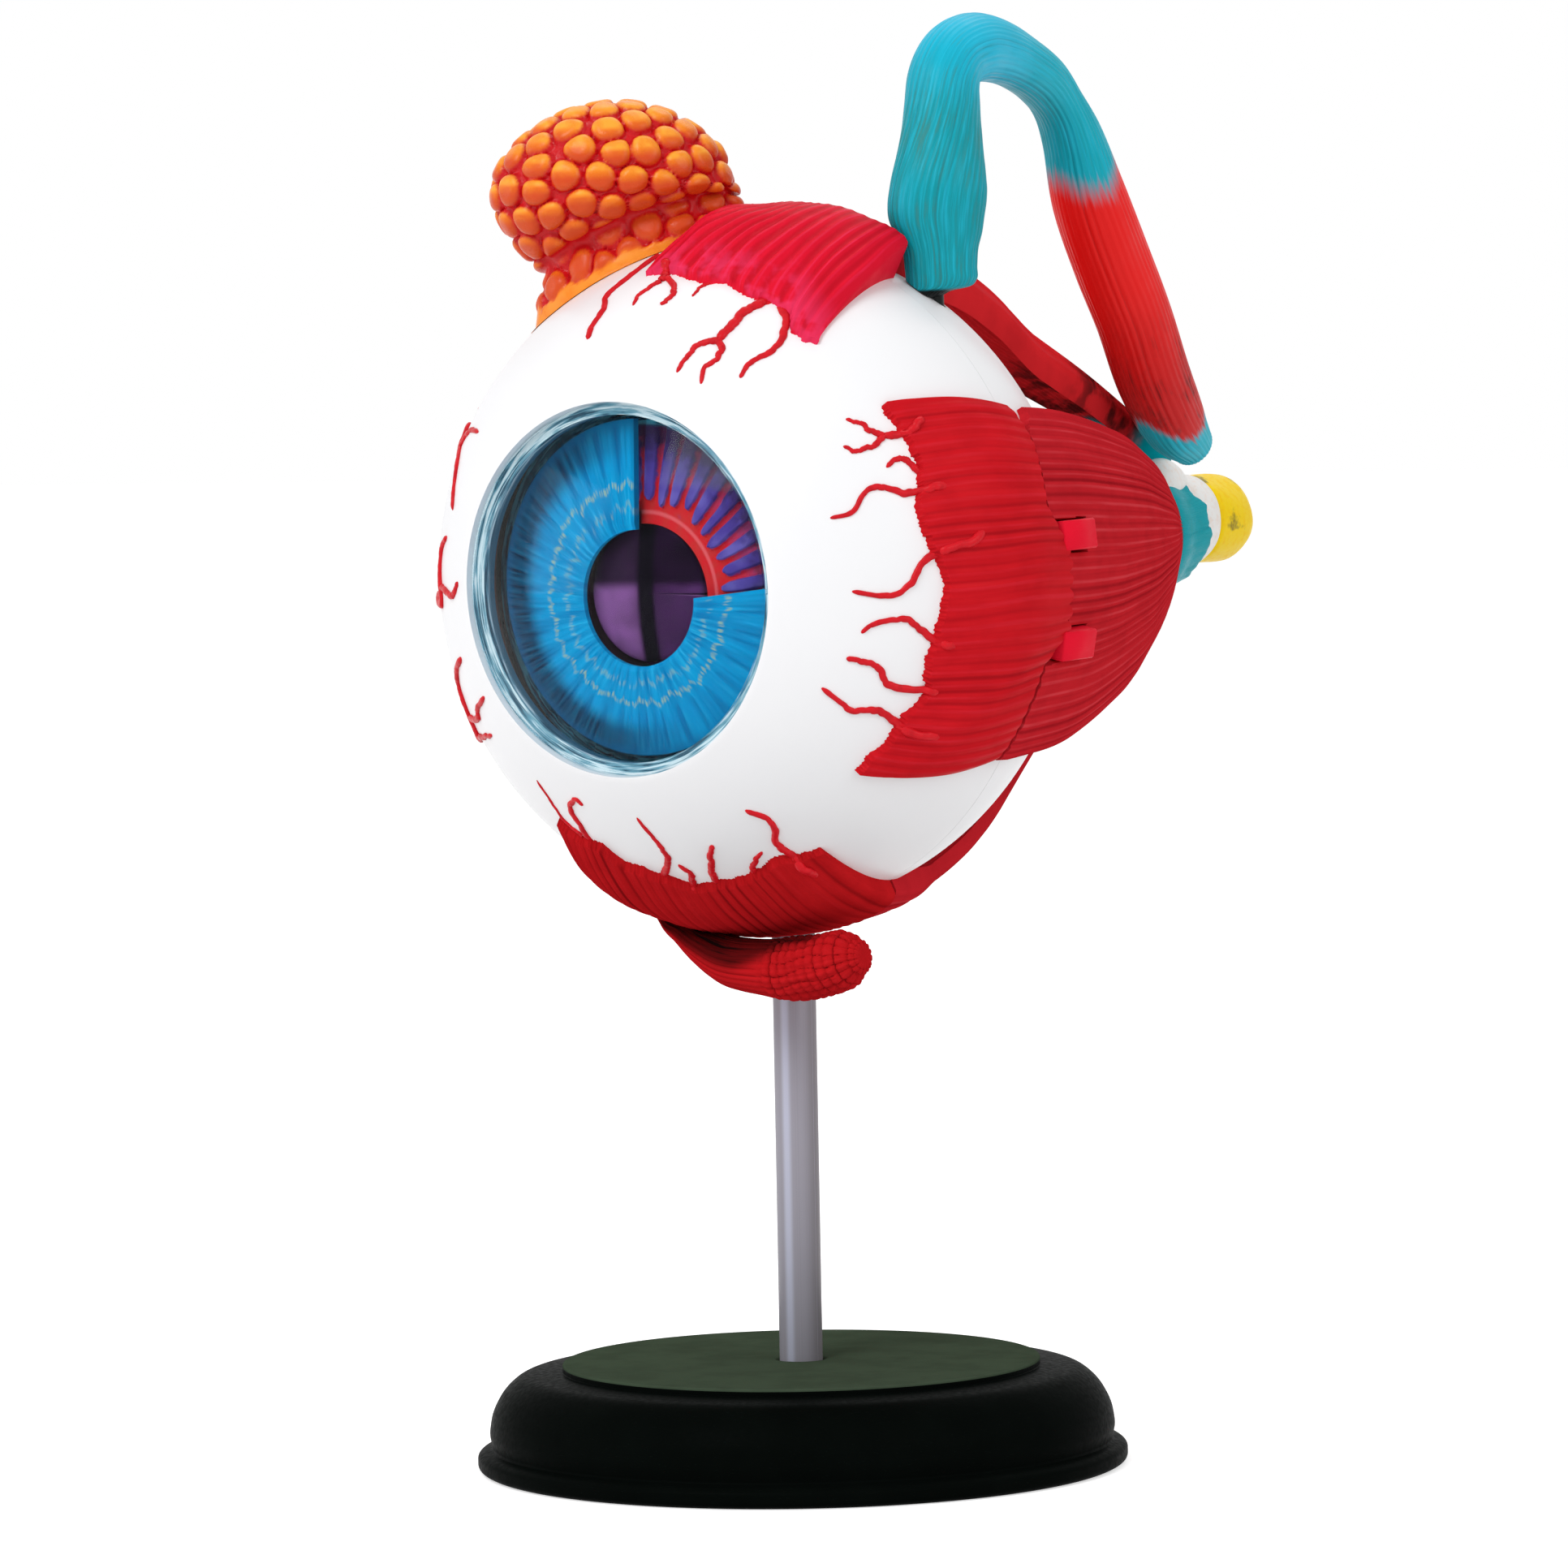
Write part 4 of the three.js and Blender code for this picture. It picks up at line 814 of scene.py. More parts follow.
# Bearings run in degrees round the gaze: 0 towards the nose, 90 up. front is the torn edge as an angle
# from the gaze, split is the parting line behind the centre and rear is the span where the piece ends.
# shape is the rear piece's fall towards end_radius, wall its thickness and folds the depth of the fibres.
# fan, sweep and thin lean, bend and narrow the front fibres; square and lift raise a side of the front piece.
MUSCLES = {
    "superior": {
        "front": [
            (96, 64.5), (91, 65), (87, 63.4), (82, 62.6), (77, 63.6), (72, 62), (66, 62.7), (61, 62.4),
            (57.5, 60.6), (54, 60.2), (51.8, 61.8),
        ],
        "split": [(97, 1.4), (77, 1.0), (66, 1.4), (60.5, 3.2)],
        "rear_start": (97, 64.5),
        "rear": (102, 64.5),
        "shape": TOP_SHAPE,
        "end": RING_FRONT + 4,
        "end_radius": RING_FRONT_RADIUS + GAP + REAR_MUSCLE + 0.9,
        "wall": 3.7,
        "square": 1,
        "lift": 1.3,
        "fan": 0.55,
        "thin": 2.6,
        "folds": 1.6,
        "sweep": 0.68,
        "front_ribs": 13,
        "rear_ribs": 15,
    },
    "medial": {
        "front": [
            (34.5, 64), (23, 65), (14, 62.5), (8, 63), (1, 65.5), (-7, 65),
            (-14, 63.4), (-21, 64), (-25, 61.6), (-32, 60.3), (-39.4, 57.5),
        ],
        "split": [
            (28.5, 0.9), (21, 1.9), (11.5, 1.0), (10.6, 1.0), (3.0, 4.6), (-9.0, 4.6), (-14.8, 0.2),
            (-22, -1.0), (-31.5, -2.2),
        ],
        "rear": (28.5, -33),
        "shape": SIDE_SHAPE,
        "end": RING_FRONT - GAP,
        "end_radius": RING_FRONT_RADIUS,
        "wall": 1.9,
        "folds": 0.75,
        "corner_gap": 4.0,
        "front_ribs": 27,
        "rear_ribs": 29,
        "tabs": (5.8, -11.8),
    },
    "inferior": {
        "front": [
            (242, 51), (248, 53), (254, 53), (257.5, 57), (262, 57), (267, 59),
            (271, 62.6), (280, 61.4), (288, 61), (293, 60), (297, 62.5), (301, 63.6),
        ],
        "split": [(243, 1.2), (270, 1.0), (295.4, 1.2)],
        "rear": (252, 285),
        "shape": UNDER_SHAPE,
        "end": RING_FRONT - GAP,
        "end_radius": RING_FRONT_RADIUS,
        "wall": 2.7,
        "folds": 0.7,
        "front_ribs": 24,
        "rear_ribs": 15,
    },
    "lateral": {
        "front": [
            (212, 74), (204, 76), (195, 74.5), (187, 76), (180, 77),
            (172, 75.5), (165, 77), (156, 75), (148, 74),
        ],
        "split": [(210, 1.4), (191, 1.2), (180, 3.4), (169, 1.2), (150, 1.4)],
        "rear": (210, 150),
        "shape": SIDE_SHAPE,
        "end": RING_FRONT - GAP,
        "end_radius": RING_FRONT_RADIUS,
        "wall": 1.9,
        "folds": 0.75,
        "front_ribs": 24,
        "rear_ribs": 27,
        "tabs": (188, 171),
    },
}
TAB_WALL, TAB_LENGTH, TAB_WIDTH = 2.05, 8.6, 3.4
TAB_START = 3.2
TAB_FIT = 0.16
SEATED = -0.25  # muscles reach this far into the shell


def edge_ease(v):
    """Thickness of a sheet over its breadth, rounded off at both sides."""
    return 0.42 + 0.58 * np.sqrt(1 - np.abs(2 * v - 1) ** 6)


def sides_eased(v):
    """One over most of a sheet's breadth and nought at its two sides."""
    return ease(0, 0.02, v) * ease(0, 0.02, 1 - v)


def rested(crest, v):
    """Crest heights that come to rest at the two sides of a sheet."""
    return lerp(crest, REST_CREST, ease(0.03, 0, v) + ease(0.97, 1, v))


def fibres(v, u, count, salt):
    """Fibre position and crest height from 0 to 1, for places v across and u along."""
    x = count * v + 0.45 * wander(count * v * 0.37, salt) + 0.25 * wander(1.6 * u + 3.0 * v, salt + 2)
    size = 0.5 + 0.5 * wander(count * v * 0.61 + 0.6 * u, salt + 4)
    crest = 0.5 - 0.5 * np.cos(2 * np.pi * x)
    return x, np.clip(1 - (1 - crest**0.8) * np.clip(0.5 + 0.5 * size, 0.3, 1.0), 0, 1)


def front_height(m, u):
    """Thickness of a front piece at a share of its length behind the torn edge."""
    return lerp(MUSCLE_TIP * 0.75, m["wall"], np.sin(np.minimum(1, u / 0.75) * np.pi / 2))


def front_strip(m, salt):
    """Points of a front piece: it hugs the shell and runs straight back behind the widest circle."""
    ribs = m["front_ribs"]
    cols = ribs * 14 + 1
    rows = 34
    v = np.linspace(0, 1, cols)[None, :]
    u = (np.linspace(0, 1, rows) ** 1.35)[:, None]
    phi_f = lerp(m["front"][0][0], m["front"][-1][0], v)
    phi_s = lerp(m["split"][0][0], m["split"][-1][0], v)
    lane = v - m.get("fan", 0) * (1 - v) * u**1.3
    x, crest = fibres(lane, u + 0 * v, ribs, salt)
    crest = crest ** m.get("thin", 1)
    teeth = v * ribs * 3.1 + 0.6 * wander(v * 40, salt)
    ragged = 0.75 * scatter(np.floor(teeth), salt + 5) + 0.5 * np.abs(np.sin(np.pi * teeth))
    ragged = ragged + 1.1 * wander(v * ribs * 0.8, salt) - 0.6
    theta = np.radians(table(m["front"], phi_f) + 0.6 * ragged)
    ahead_f = (mm("globe_half_length") + GAP) * np.cos(theta)
    ahead_s = -(table(m["split"], phi_s) - GAP / 2)
    ahead_s = ahead_s + 0.8 * (1 - np.abs(np.sin(phi_s * 1.25)) ** 0.7) * ease(2.2, 4.4, -ahead_s)
    ahead = lerp(ahead_f, ahead_s, u)
    relief = m["folds"] * mm("rib_depth") * (crest - REST_CREST) * ease(0, 0.10, u)
    relief = relief * sides_eased(v)
    if "lift" in m:
        relief = relief * (1 - 0.8 * ease(0.4, 0.9, u))
    square = m.get("square", 0) * ease(0.3, 0.8, u) * ease(0.6, 1, v)
    thick = np.maximum(MUSCLE_TIP * 0.6, front_height(m, u) * lerp(edge_ease(v), 1, square)) + relief
    thick = thick + m.get("lift", 0) * ease(0.5, 1.0, u) * ease(0.2, 0.8, v)
    thick = thick + 0.06 * m["wall"] * wander(2.4 * u + 5 * v, salt) * ease(0.1, 0.4, u)
    if "lift" in m:
        roll = np.clip((v - 0.84) / 0.16, 0, 1)
        rolled = 1 - 0.8 * (1 - np.sqrt(1 - roll**2)) * (1 - 0.65 * u)
        thick = thick * rolled * lerp(0.45, 1, ease(0, 0.2, v))
    offset = GAP + thick
    phi = lerp(phi_f, phi_s, u ** m.get("sweep", 1))
    top = np.where(ahead > 0, ball_radius(ahead, offset), mm("globe_radius") + offset)
    low = np.where(ahead > 0, ball_radius(ahead, SEATED), mm("globe_radius") + SEATED)
    distance = np.cumsum(np.abs(np.diff(ahead, axis=0, prepend=ahead[:1])), axis=0) * 1.4
    crest = rested(crest + 0 * ahead, v)
    return slab(polar(top, phi, -ahead), polar(low, phi, -ahead), x, distance, crest)


def slab(outer, inner, x, along, crest):
    """A closed sheet between two grids of points, with its grain."""
    rows, cols = outer.shape[:2]
    count = rows * cols
    points = np.concatenate([outer.reshape(-1, 3), inner.reshape(-1, 3)])
    faces = grid_faces(rows, cols)
    faces += [[count + v for v in face[::-1]] for face in grid_faces(rows, cols)]
    rim = list(range(cols)) + [i * cols + cols - 1 for i in range(1, rows)]
    rim += [(rows - 1) * cols + j for j in range(cols - 2, -1, -1)]
    rim += [i * cols for i in range(rows - 2, 0, -1)]
    for a, b in zip(rim, rim[1:] + rim[:1]):
        faces.append([b, a, count + a, count + b])
    grain = np.stack([x + 0 * along, along + 0 * x, crest + 0 * x], axis=-1).reshape(-1, 3)
    under = grain.copy()
    under[:, 2] = REST_CREST
    return points, faces, np.concatenate([grain, under])


def cone_radius(m, y):
    """Outer radius of a rear piece, whose profile is eased at its corners."""
    wide = mm("globe_radius") + GAP + m["wall"]
    share = np.maximum(0, y) / m["end"]
    shifts = (-0.05, -0.025, 0, 0.025, 0.05)
    smooth = np.mean([table(m["shape"], np.clip(share + shift, 0, 1)) for shift in shifts], axis=0)
    smooth = np.where((share < 0.05) | (share > 0.95), table(m["shape"], share), smooth)
    return lerp(m["end_radius"], wide, smooth)


def rear_strip(m, salt):
    """Points of a rear piece: it leaves the eyeball at its widest and narrows to its end."""
    ribs = m["rear_ribs"]
    cols = ribs * 9 + 1
    rows = 64
    v = np.linspace(0, 1, cols)[None, :]
    share = (np.linspace(0, 1, rows) ** 1.25)[:, None]
    first, last = m.get("rear_start", (m["split"][0][0], m["split"][-1][0]))
    phi_s = lerp(first, last, v)
    phi_r = lerp(m["rear"][0], m["rear"][1], v)
    start = table(m["split"], phi_s) + GAP / 2 + 0.12 + 0.14 * wander(v * ribs * 2.3, salt)
    start = start + m.get("corner_gap", 0.4) * ease(0.12, 0, v)
    y = lerp(start, m["end"] + 0 * v, share)
    side = edge_ease(v)
    thick = lerp(m["wall"] * side, REAR_MUSCLE, np.minimum(1, share * 1.6))
    top = cone_radius(m, y) - m["wall"] * (1 - side) * (1 - share)
    if "lift" in m:
        roll = np.clip((v - 0.7) / 0.3, 0, 1)
        top = top - 2.2 * (1 - np.sqrt(1 - 0.99 * roll**2)) * ease(0, 0.05, share)
    x, crest = fibres(v + 0 * share, 0.6 * share + 0 * v, ribs, salt)
    fade = sides_eased(v) * lerp(1.0, 0.55, share)
    crest = rested(crest, v)
    top = top + mm("rib_depth") * 1.25 * (crest - REST_CREST) * fade
    seat = ball_radius(y, SEATED)
    low = lerp(seat, np.maximum(top - thick, seat), ease(0.08, 0.62, y / mm("globe_half_length")))
    phi = lerp(phi_s, phi_r, np.minimum(1, share * 4))
    top = np.maximum(top, low + 0.5)
    for bearing in m.get("tabs", ()):
        aside = np.radians(phi - bearing) * mm("globe_radius")
        notch = np.abs(aside) < TAB_WIDTH / 2 + TAB_FIT
        notch = notch & (y < mm("parting_back") + TAB_LENGTH + TAB_FIT)
        floor = np.where(y < 0, mm("globe_radius"), ball_radius(y, 0.35))
        top = np.where(notch, floor, top)
        crest = np.where(notch, 0.3, crest)
    return slab(polar(top, phi, y), polar(np.minimum(low, top - 0.3), phi, y), x, y + 0 * x, crest)


def tab(bearing):
    """A flat tongue with eased edges that lies in a notch of the rear piece."""
    inner = mm("globe_radius") + GAP + 0.1
    back = TAB_LENGTH + mm("parting_back")
    e = 0.22
    w = TAB_WIDTH / 2
    section = [(-w, 0), (w, 0), (w, TAB_WALL - e), (w - e, TAB_WALL), (e - w, TAB_WALL), (-w, TAB_WALL - e)]
    rings = []
    for y, trim in ((TAB_START, e), (TAB_START + e, 0), (back - e, 0), (back, e)):
        rings.append([(a - math.copysign(trim, a), y, min(h, TAB_WALL - trim)) for a, h in section])
    points = np.array(rings).reshape(-1, 3)
    turn = math.radians(bearing)
    radius = inner + points[:, 2]
    x = radius * math.cos(turn) - points[:, 0] * math.sin(turn)
    z = radius * math.sin(turn) + points[:, 0] * math.cos(turn)
    grain = np.stack([points[:, 0] * 2, points[:, 1], 2.0 + 0 * x], axis=-1)
    return np.stack([x, points[:, 1], z], axis=-1), closed_tube(len(rings), len(section)), grain


def torn_edge_highlight(f, body, grain, streak, mottle):
    """The upper front piece pales to pink at its torn edge, a painted highlight."""
    return f.blend(grain[1].span(0.4, 7.0, 0.5, 0.0) * mottle.span(0.40, 0.56), body, paint("muscle_rub_and_highlight"))


class EYE_OT_front_muscles(bpy.types.Operator):
    """Front pieces of the four straight muscles, torn at their front edge"""

    bl_idname = "eye.front_muscles"
    bl_label = "Front muscles"

    def execute(self, context):
        deep = (0.26, 0.003, 0.007)
        red = finish_muscle("bright red muscle paint", paint("muscle_front"), deep, (0.66, 0.025, 0.045), 0.4)
        lower = finish_muscle(
            "lower red muscle paint", (0.47, 0.009, 0.012), (0.05, 0.001, 0.002), (0.58, 0.02, 0.03), 0.15,
            specular=0.0,
        )
        upper = finish_muscle(
            "upper red muscle paint", paint("muscle_top"), (0.40, 0.004, 0.012), paint("muscle_rub_and_highlight"), 0.35,
            extra=torn_edge_highlight,
        )
        for salt, (key, m) in enumerate(MUSCLES.items()):
            finish = {"superior": upper, "inferior": lower}.get(key, red)
            sections = [front_strip(m, 3.0 * salt + 1)] + [tab(bearing) for bearing in m.get("tabs", ())]
            name = key + "_muscle_front_piece"
            build(name, sections, finish, "front_half", (key + "_rectus_front",), sharp=55)
        return {"FINISHED"}


def superior_tint(f, body, grain, streak, mottle):
    """The superior muscle ends in teal, with dark brushing where the paints meet that is partly painted
    shade.
    """
    _, along, crest = grain
    here = along.brushed(streak, 8.0)
    # dark brushing, partly paint and partly painted shade
    body = f.blend(here.span(50.0, 60.0) * mottle.span(0.38, 0.58, 0.15, 0.9), body, (0.05, 0.010, 0.010))
    teal = f.blend(crest.span(0.0, 0.5, 0.8, 0.0), paint("tendon"), paint("tendon_deep"))
    return f.blend(here.span(70.0, 74.0), body, teal)


def end_tint(f, body, grain, streak, mottle):
    """The side muscles take on some of the ring's teal where they meet it."""
    return f.blend(grain[1].brushed(streak, 3.0).span(73.2, 76.4, 0.0, 0.9), body, (0.01, 0.19, 0.21))


class EYE_OT_rear_muscles(bpy.types.Operator):
    """Rear pieces of the four straight muscles, ribbed and drawn together towards the nerve"""

    bl_idname = "eye.rear_muscles"
    bl_label = "Rear muscles"

    def execute(self, context):
        red = paint("muscle_rear")
        pale = (0.66, 0.06, 0.075)
        deep = paint("muscle_deep")
        plain = finish_muscle("red rear muscle paint", red, deep, pale, 0.65, 0.38, end_tint, 0.0)
        bright = (0.68, 0.022, 0.028)
        topped = finish_muscle(
            "red and teal rear muscle paint", bright, deep, pale, 0.4, 0.38, superior_tint, 0.0
        )
        for salt, (key, m) in enumerate(MUSCLES.items()):
            finish = topped if key == "superior" else plain
            name = key + "_muscle_rear_piece"
            section = rear_strip(m, 2.0 * salt + 4)
            build(name, [section], finish, "rear_half", (key + "_rectus_rear",), sharp=55)
        return {"FINISHED"}


# Loose muscles

# Rows run along the muscle: towards the nose, behind the centre, up, half width, half depth, sideways
# shift and the bearing of the depth direction.
SUPERIOR_ROUTE = [
    (22.5, 7.4, 31.0, 1.1, 1.1, 2.3, -54), (22.5, 7.4, 31.3, 1.9, 1.9, 2.0, -54),
    (22.5, 7.4, 31.8, 2.5, 2.3, 1.5, -54), (22.5, 7.4, 32.2, 3.5, 2.6, 0.5, -54),
    (22.5, 7.4, 33.0, 4.0, 2.9, 0.1, -54), (22.5, 7.4, 34.5, 4.1, 3.1, 0.1, -54),
    (22.5, 7.4, 36.5, 4.3, 3.3, 0.1, -54), (22.5, 7.4, 38.3, 4.9, 3.5, 0.2, -54),
    (22.5, 7.4, 40.0, 5.4, 3.7, 0.4, -53), (22.45, 7.5, 41.8, 5.6, 4.0, 0.3, -52),
    (22.3, 7.8, 43.7, 5.5, 4.2, 0.1, -49), (22.0, 8.6, 46.4, 5.1, 4.3, 0.0, -42),
    (21.6, 9.6, 49.2, 4.7, 4.2, 0.0, -34),
    (21.2, 10.5, 52.4, 4.4, 4.1, 0.0, -25), (20.8, 11.6, 55.7, 4.2, 4.0, 0.0, -18),
    (20.4, 14.0, 58.1, 4.0, 3.9, 0.0, -14), (20.0, 18.3, 59.3, 4.0, 3.9, 0.0, -14),
    (19.4, 24.0, 59.0, 3.7, 3.7, 0.0, -14), (18.8, 29.5, 57.7, 3.3, 3.6, 0.0, -14),
    (18.2, 35.3, 55.5, 3.1, 3.5, 0.0, -14), (17.7, 39.4, 52.7, 2.9, 3.3, 0.0, -14),
    (17.0, 43.2, 48.9, 3.6, 3.5, 0.0, -14), (15.9, 48.0, 41.7, 4.7, 4.1, 0.0, -14),
    (14.8, 53.9, 34.4, 5.0, 4.2, 0.0, -14), (13.6, 60.2, 27.3, 4.9, 4.2, 0.0, -14),
    (12.4, 66.1, 19.6, 4.8, 4.1, 0.0, -14), (11.4, 71.9, 14.0, 4.2, 3.6, 0.0, -14),
    (10.8, 76.5, 11.1, 2.8, 2.6, 0.0, -14),
]
BEND_ROW = 15
OBLIQUE_RIBS = 36
RED_STARTS, RED_ENDS = 22, 26  # rows at which the superior oblique's red belly starts and ends
SUPERIOR_PEG = (21.2, 7.2)
INFERIOR_ROUTE = [
    (18.4, -8.4, -42.7, 2.0, 2.2, 0, 90), (17.2, -8.4, -42.9, 3.1, 3.2, 0, 90),
    (14.0, -8.3, -43.7, 3.5, 3.6, 0, 90), (9.5, -8.0, -44.6, 3.6, 3.6, 0.25, 90),
    (5.0, -7.6, -44.6, 3.2, 3.6, 0.25, 90), (0.0, -6.6, -44.6, 2.9, 3.5, 0.6, 90),
    (-5.0, -4.5, -43.6, 2.2, 3.3, 0.8, 90), (-9.5, -1.5, -42.2, 1.5, 3.1, 0.5, 90),
    (-13.5, 1.5, -40.9, 0.9, 2.9, 0, 90), (-17.5, 4.0, -38.4, 0.9, 2.7, 0, 90),
    (-20.6, 5.4, -35.0, 1.1, 2.5, 0, 90), (-21.8, 5.6, -33.4, 1.3, 2.3, 0, 90),
]
SLUNG_RIBS = 22
SLUNG_PEG_BEARING, SLUNG_PEG_BACK = 236.9, 5.6


def reach(route, row):
    """Length along a route up to one of its rows."""
    places = smooth_route(route[: row + 1], 40 * row)[:, :3]
    return float(np.sum(np.linalg.norm(np.diff(places, axis=0), axis=1)))


def swept(route, steps, sides, ribs, depth, salt, relief=None, caps=(1.2, 1.6), blunt=1.0):
    """An oval section swept along a route, ribbed lengthwise, with rounded ends."""
    rows = smooth_route(route, steps)
    along = np.gradient(rows[:, :3], axis=0)
    along /= np.linalg.norm(along, axis=1, keepdims=True)
    turn = np.radians(rows[:, 6])
    across = np.stack([np.cos(turn), np.sin(turn), 0 * turn], axis=1)
    deep = across - along * np.sum(along * across, axis=1, keepdims=True)
    deep /= np.linalg.norm(deep, axis=1, keepdims=True)
    wide = np.cross(deep, along)
    run = np.concatenate([[0], np.cumsum(np.linalg.norm(np.diff(rows[:, :3], axis=0), axis=1))])
    middle = [(rows[k, :3] + wide[k] * rows[k, 5], rows[k, 3:5], k, run[k]) for k in range(len(rows))]
    arc = np.linspace(0, np.pi / 2, 14)[1:]
    first, last = [], []
    for at, rings, way, reach_out in ((0, first, -1, caps[0]), (-1, last, 1, caps[1])):
        centre, halves, k, s = middle[at]
        for a in arc:
            spot = centre + way * along[k] * reach_out * np.sin(a)
            rings.append((spot, halves * max(np.cos(a) ** blunt, 0.02), k, s + way * min(halves) * a * 0.8))
    first.reverse()
    angle = np.linspace(0, 2 * np.pi, sides, endpoint=False)
    points, grain = [], []
    for spot, halves, k, s in first + middle + last:
        bend = 0.10 * wander(0.04 * s + 0 * angle, salt) + 0.3 * np.sin(3 * angle + salt)
        x = ribs * angle / (2 * np.pi) + bend
        size = 0.6 + 0.4 * wander(angle * 5 + 0.03 * s, salt + 3)
        crest = 1 - (0.5 + 0.5 * np.cos(2 * np.pi * x)) ** 1.6 * np.clip(size, 0.2, 1)
        lift = depth * (crest - REST_CREST) * min(1, halves[0] / 2.5)
        if relief is not None:
            extra, crest = relief(s, angle, crest)
            lift = lift + extra * min(1, halves[0] / 2.0)
        ring = spot + np.outer(np.cos(angle) * (halves[0] + lift), wide[k])
        ring = ring + np.outer(np.sin(angle) * (halves[1] + lift), deep[k])
        points.append(ring)
        grain.append(np.stack([x, s + 0 * x, crest], axis=-1))
    return np.concatenate(points), closed_tube(len(points), sides), np.concatenate(grain)


def superior_spot(height):
    """A point on the line of the superior oblique's peg, at a height over the eyeball's face."""
    x, y = SUPERIOR_PEG
    return (x, y, math.sqrt(ball_radius(y) ** 2 - x**2) + height)


class EYE_OT_superior_oblique(bpy.types.Operator):
    """The loose superior oblique muscle with its bent tendon"""

    bl_idname = "eye.superior_oblique"
    bl_label = "Superior oblique"

    def execute(self, context):
        points, faces, grain = swept(SUPERIOR_ROUTE, 300, 192, OBLIQUE_RIBS, 0.13, 3.0, caps=(0.3, 1.6))
        # the peg's grain marks it for the painted shadow under the foot
        foot = peg([superior_spot(-PEG_SINK - 0.2), superior_spot(3)], (1.0, 0, 0), (0, 0, -1.0))
        sections = [(out_of_ball(points, 0.12), faces, grain), foot]
        build(
            "superior_oblique_muscle", sections, finish_oblique(), "superior_oblique",
            ("superior_oblique",), sharp=60,
        )
        return {"FINISHED"}


def cobbles(s, angle, crest):
    """Cut fibre ends at the nose end of the inferior oblique."""
    share = float(ease(12.6, 10.6, s))
    row = (s + 4) / 1.3
    shift = 0.16 * math.sin(7 * math.floor(row))
    rows = abs(math.sin(math.pi * row))
    bent = angle / (2 * np.pi) * 15 + shift + 0.12 * np.sin(3 * angle + 1.3 * row)
    across = np.abs(np.sin(np.pi * bent))
    knob = (rows * across**0.7) ** 0.45
    return 0.55 * share * (knob - REST_CREST), lerp(crest, knob, share)


def slung_painted_shade(f, body, grain, streak, mottle):
    """Painted shade, near black, along the upper side of the inferior oblique where it lies under the
    eyeball.
    """
    across, along, _ = grain
    side = abs(across - SLUNG_RIBS / 2) - along.span(7.0, 17.0, 0.12 * SLUNG_RIBS, 0.0)
    high = side.span(0.22 * SLUNG_RIBS, 0.31 * SLUNG_RIBS)
    high = high * (along.span(2.0, 6.0) * along.span(34.0, 42.0, 1.0, 0.0))
    # painted shade along the upper side
    return f.blend(high * streak.span(0.36, 0.56, 1.0, 0.8), body, (0.008, 0.003, 0.003))


class EYE_OT_inferior_oblique(bpy.types.Operator):
    """The loose inferior oblique muscle slung under the eyeball"""

    bl_idname = "eye.inferior_oblique"
    bl_label = "Inferior oblique"

    def execute(self, context):
        points, faces, grain = swept(
            INFERIOR_ROUTE, 280, 210, SLUNG_RIBS, 0.15, 6.0, cobbles, caps=(0.9, 0.8), blunt=0.45
        )
        finish = finish_muscle(
            "red slung muscle paint", (0.46, 0.009, 0.012), (0.03, 0.001, 0.002), (0.56, 0.02, 0.03), 0.15,
            extra=slung_painted_shade, specular=0.0,
        )
        foot = peg(spoke(SLUNG_PEG_BEARING, SLUNG_PEG_BACK, -PEG_SINK, PEG_SINK), (0, 1.0, 0))
        sections = [(out_of_ball(points, 0.15), faces, grain), foot]
        build(
            "inferior_oblique_muscle", sections, finish, "inferior_oblique",
            ("inferior_oblique",), sharp=60,
        )
        return {"FINISHED"}


# Lacrimal gland

GLAND_SEAT = np.array([-14.5, -3.1, 34.0])
GLAND_BEARING = math.degrees(math.atan2(GLAND_SEAT[2], GLAND_SEAT[0]))
GLAND_ACROSS = np.array([0.811, 0.585, 0])
GLAND_AWAY = np.array([-0.585, 0.811, 0])
# Rows run upwards: half length across, sideways shift, height over the seat, half depth, rise of the right
# end and rise of the front.
GLAND_ROWS = [
    (12.6, 1.9, 0.2, 6.6, 6.2, 0.0), (12.2, 1.9, 2.6, 6.4, 5.6, 0.8), (11.3, 1.8, 5.0, 5.4, 4.1, 2.4),
    (12.0, 1.3, 6.2, 7.0, 3.6, 2.1), (12.9, 0.3, 7.6, 8.2, 2.9, 1.6), (13.8, -0.9, 9.9, 8.9, 1.4, 0.6),
    (13.5, -1.4, 12.5, 9.0, 0.8, 0.0), (12.4, -1.3, 14.9, 8.5, 0.5, 0.0), (10.2, -1.2, 17.2, 7.4, 0.3, 0.0),
    (6.9, -1.2, 19.2, 5.6, 0.2, 0.0), (3.2, -0.9, 20.4, 2.8, 0.0, 0.0), (0.15, -0.9, 20.9, 0.15, 0.0, 0.0),
]
GLAND_STEPS = 12  # rings of points for each row
LOBULE_SEED = 11
LOBULE_EDGE = 3.2  # a lower value rounds the lobules' outlines more


def thinned(points, spacing, seed):
    """A seeded choice of the points that keeps them a distance apart."""
    free = np.ones(len(points), bool)
    kept = []
    for k in np.random.default_rng(seed).permutation(len(points)):
        if free[k]:
            kept.append(points[k])
            free &= np.linalg.norm(points - points[k], axis=1) > spacing
    return np.array(kept)


def lobules(points, spacing, seed):
    """Each point's distances to its three nearest lobule centres, its nearest one, and all the centres."""
    even = thinned(points, spacing / 5, seed)
    centres = thinned(even, spacing, seed)
    for _ in range(5):
        apart = np.linalg.norm(even[:, None] - centres[None], axis=2)
        closest = np.argmin(apart, axis=1)
        centres = np.array([even[closest == k].mean(axis=0) for k in range(len(centres))])
    apart = np.linalg.norm(points[:, None] - centres[None], axis=2)
    owner = np.argmin(apart, axis=1)
    return np.partition(apart, 2, axis=1)[:, :3], owner, centres


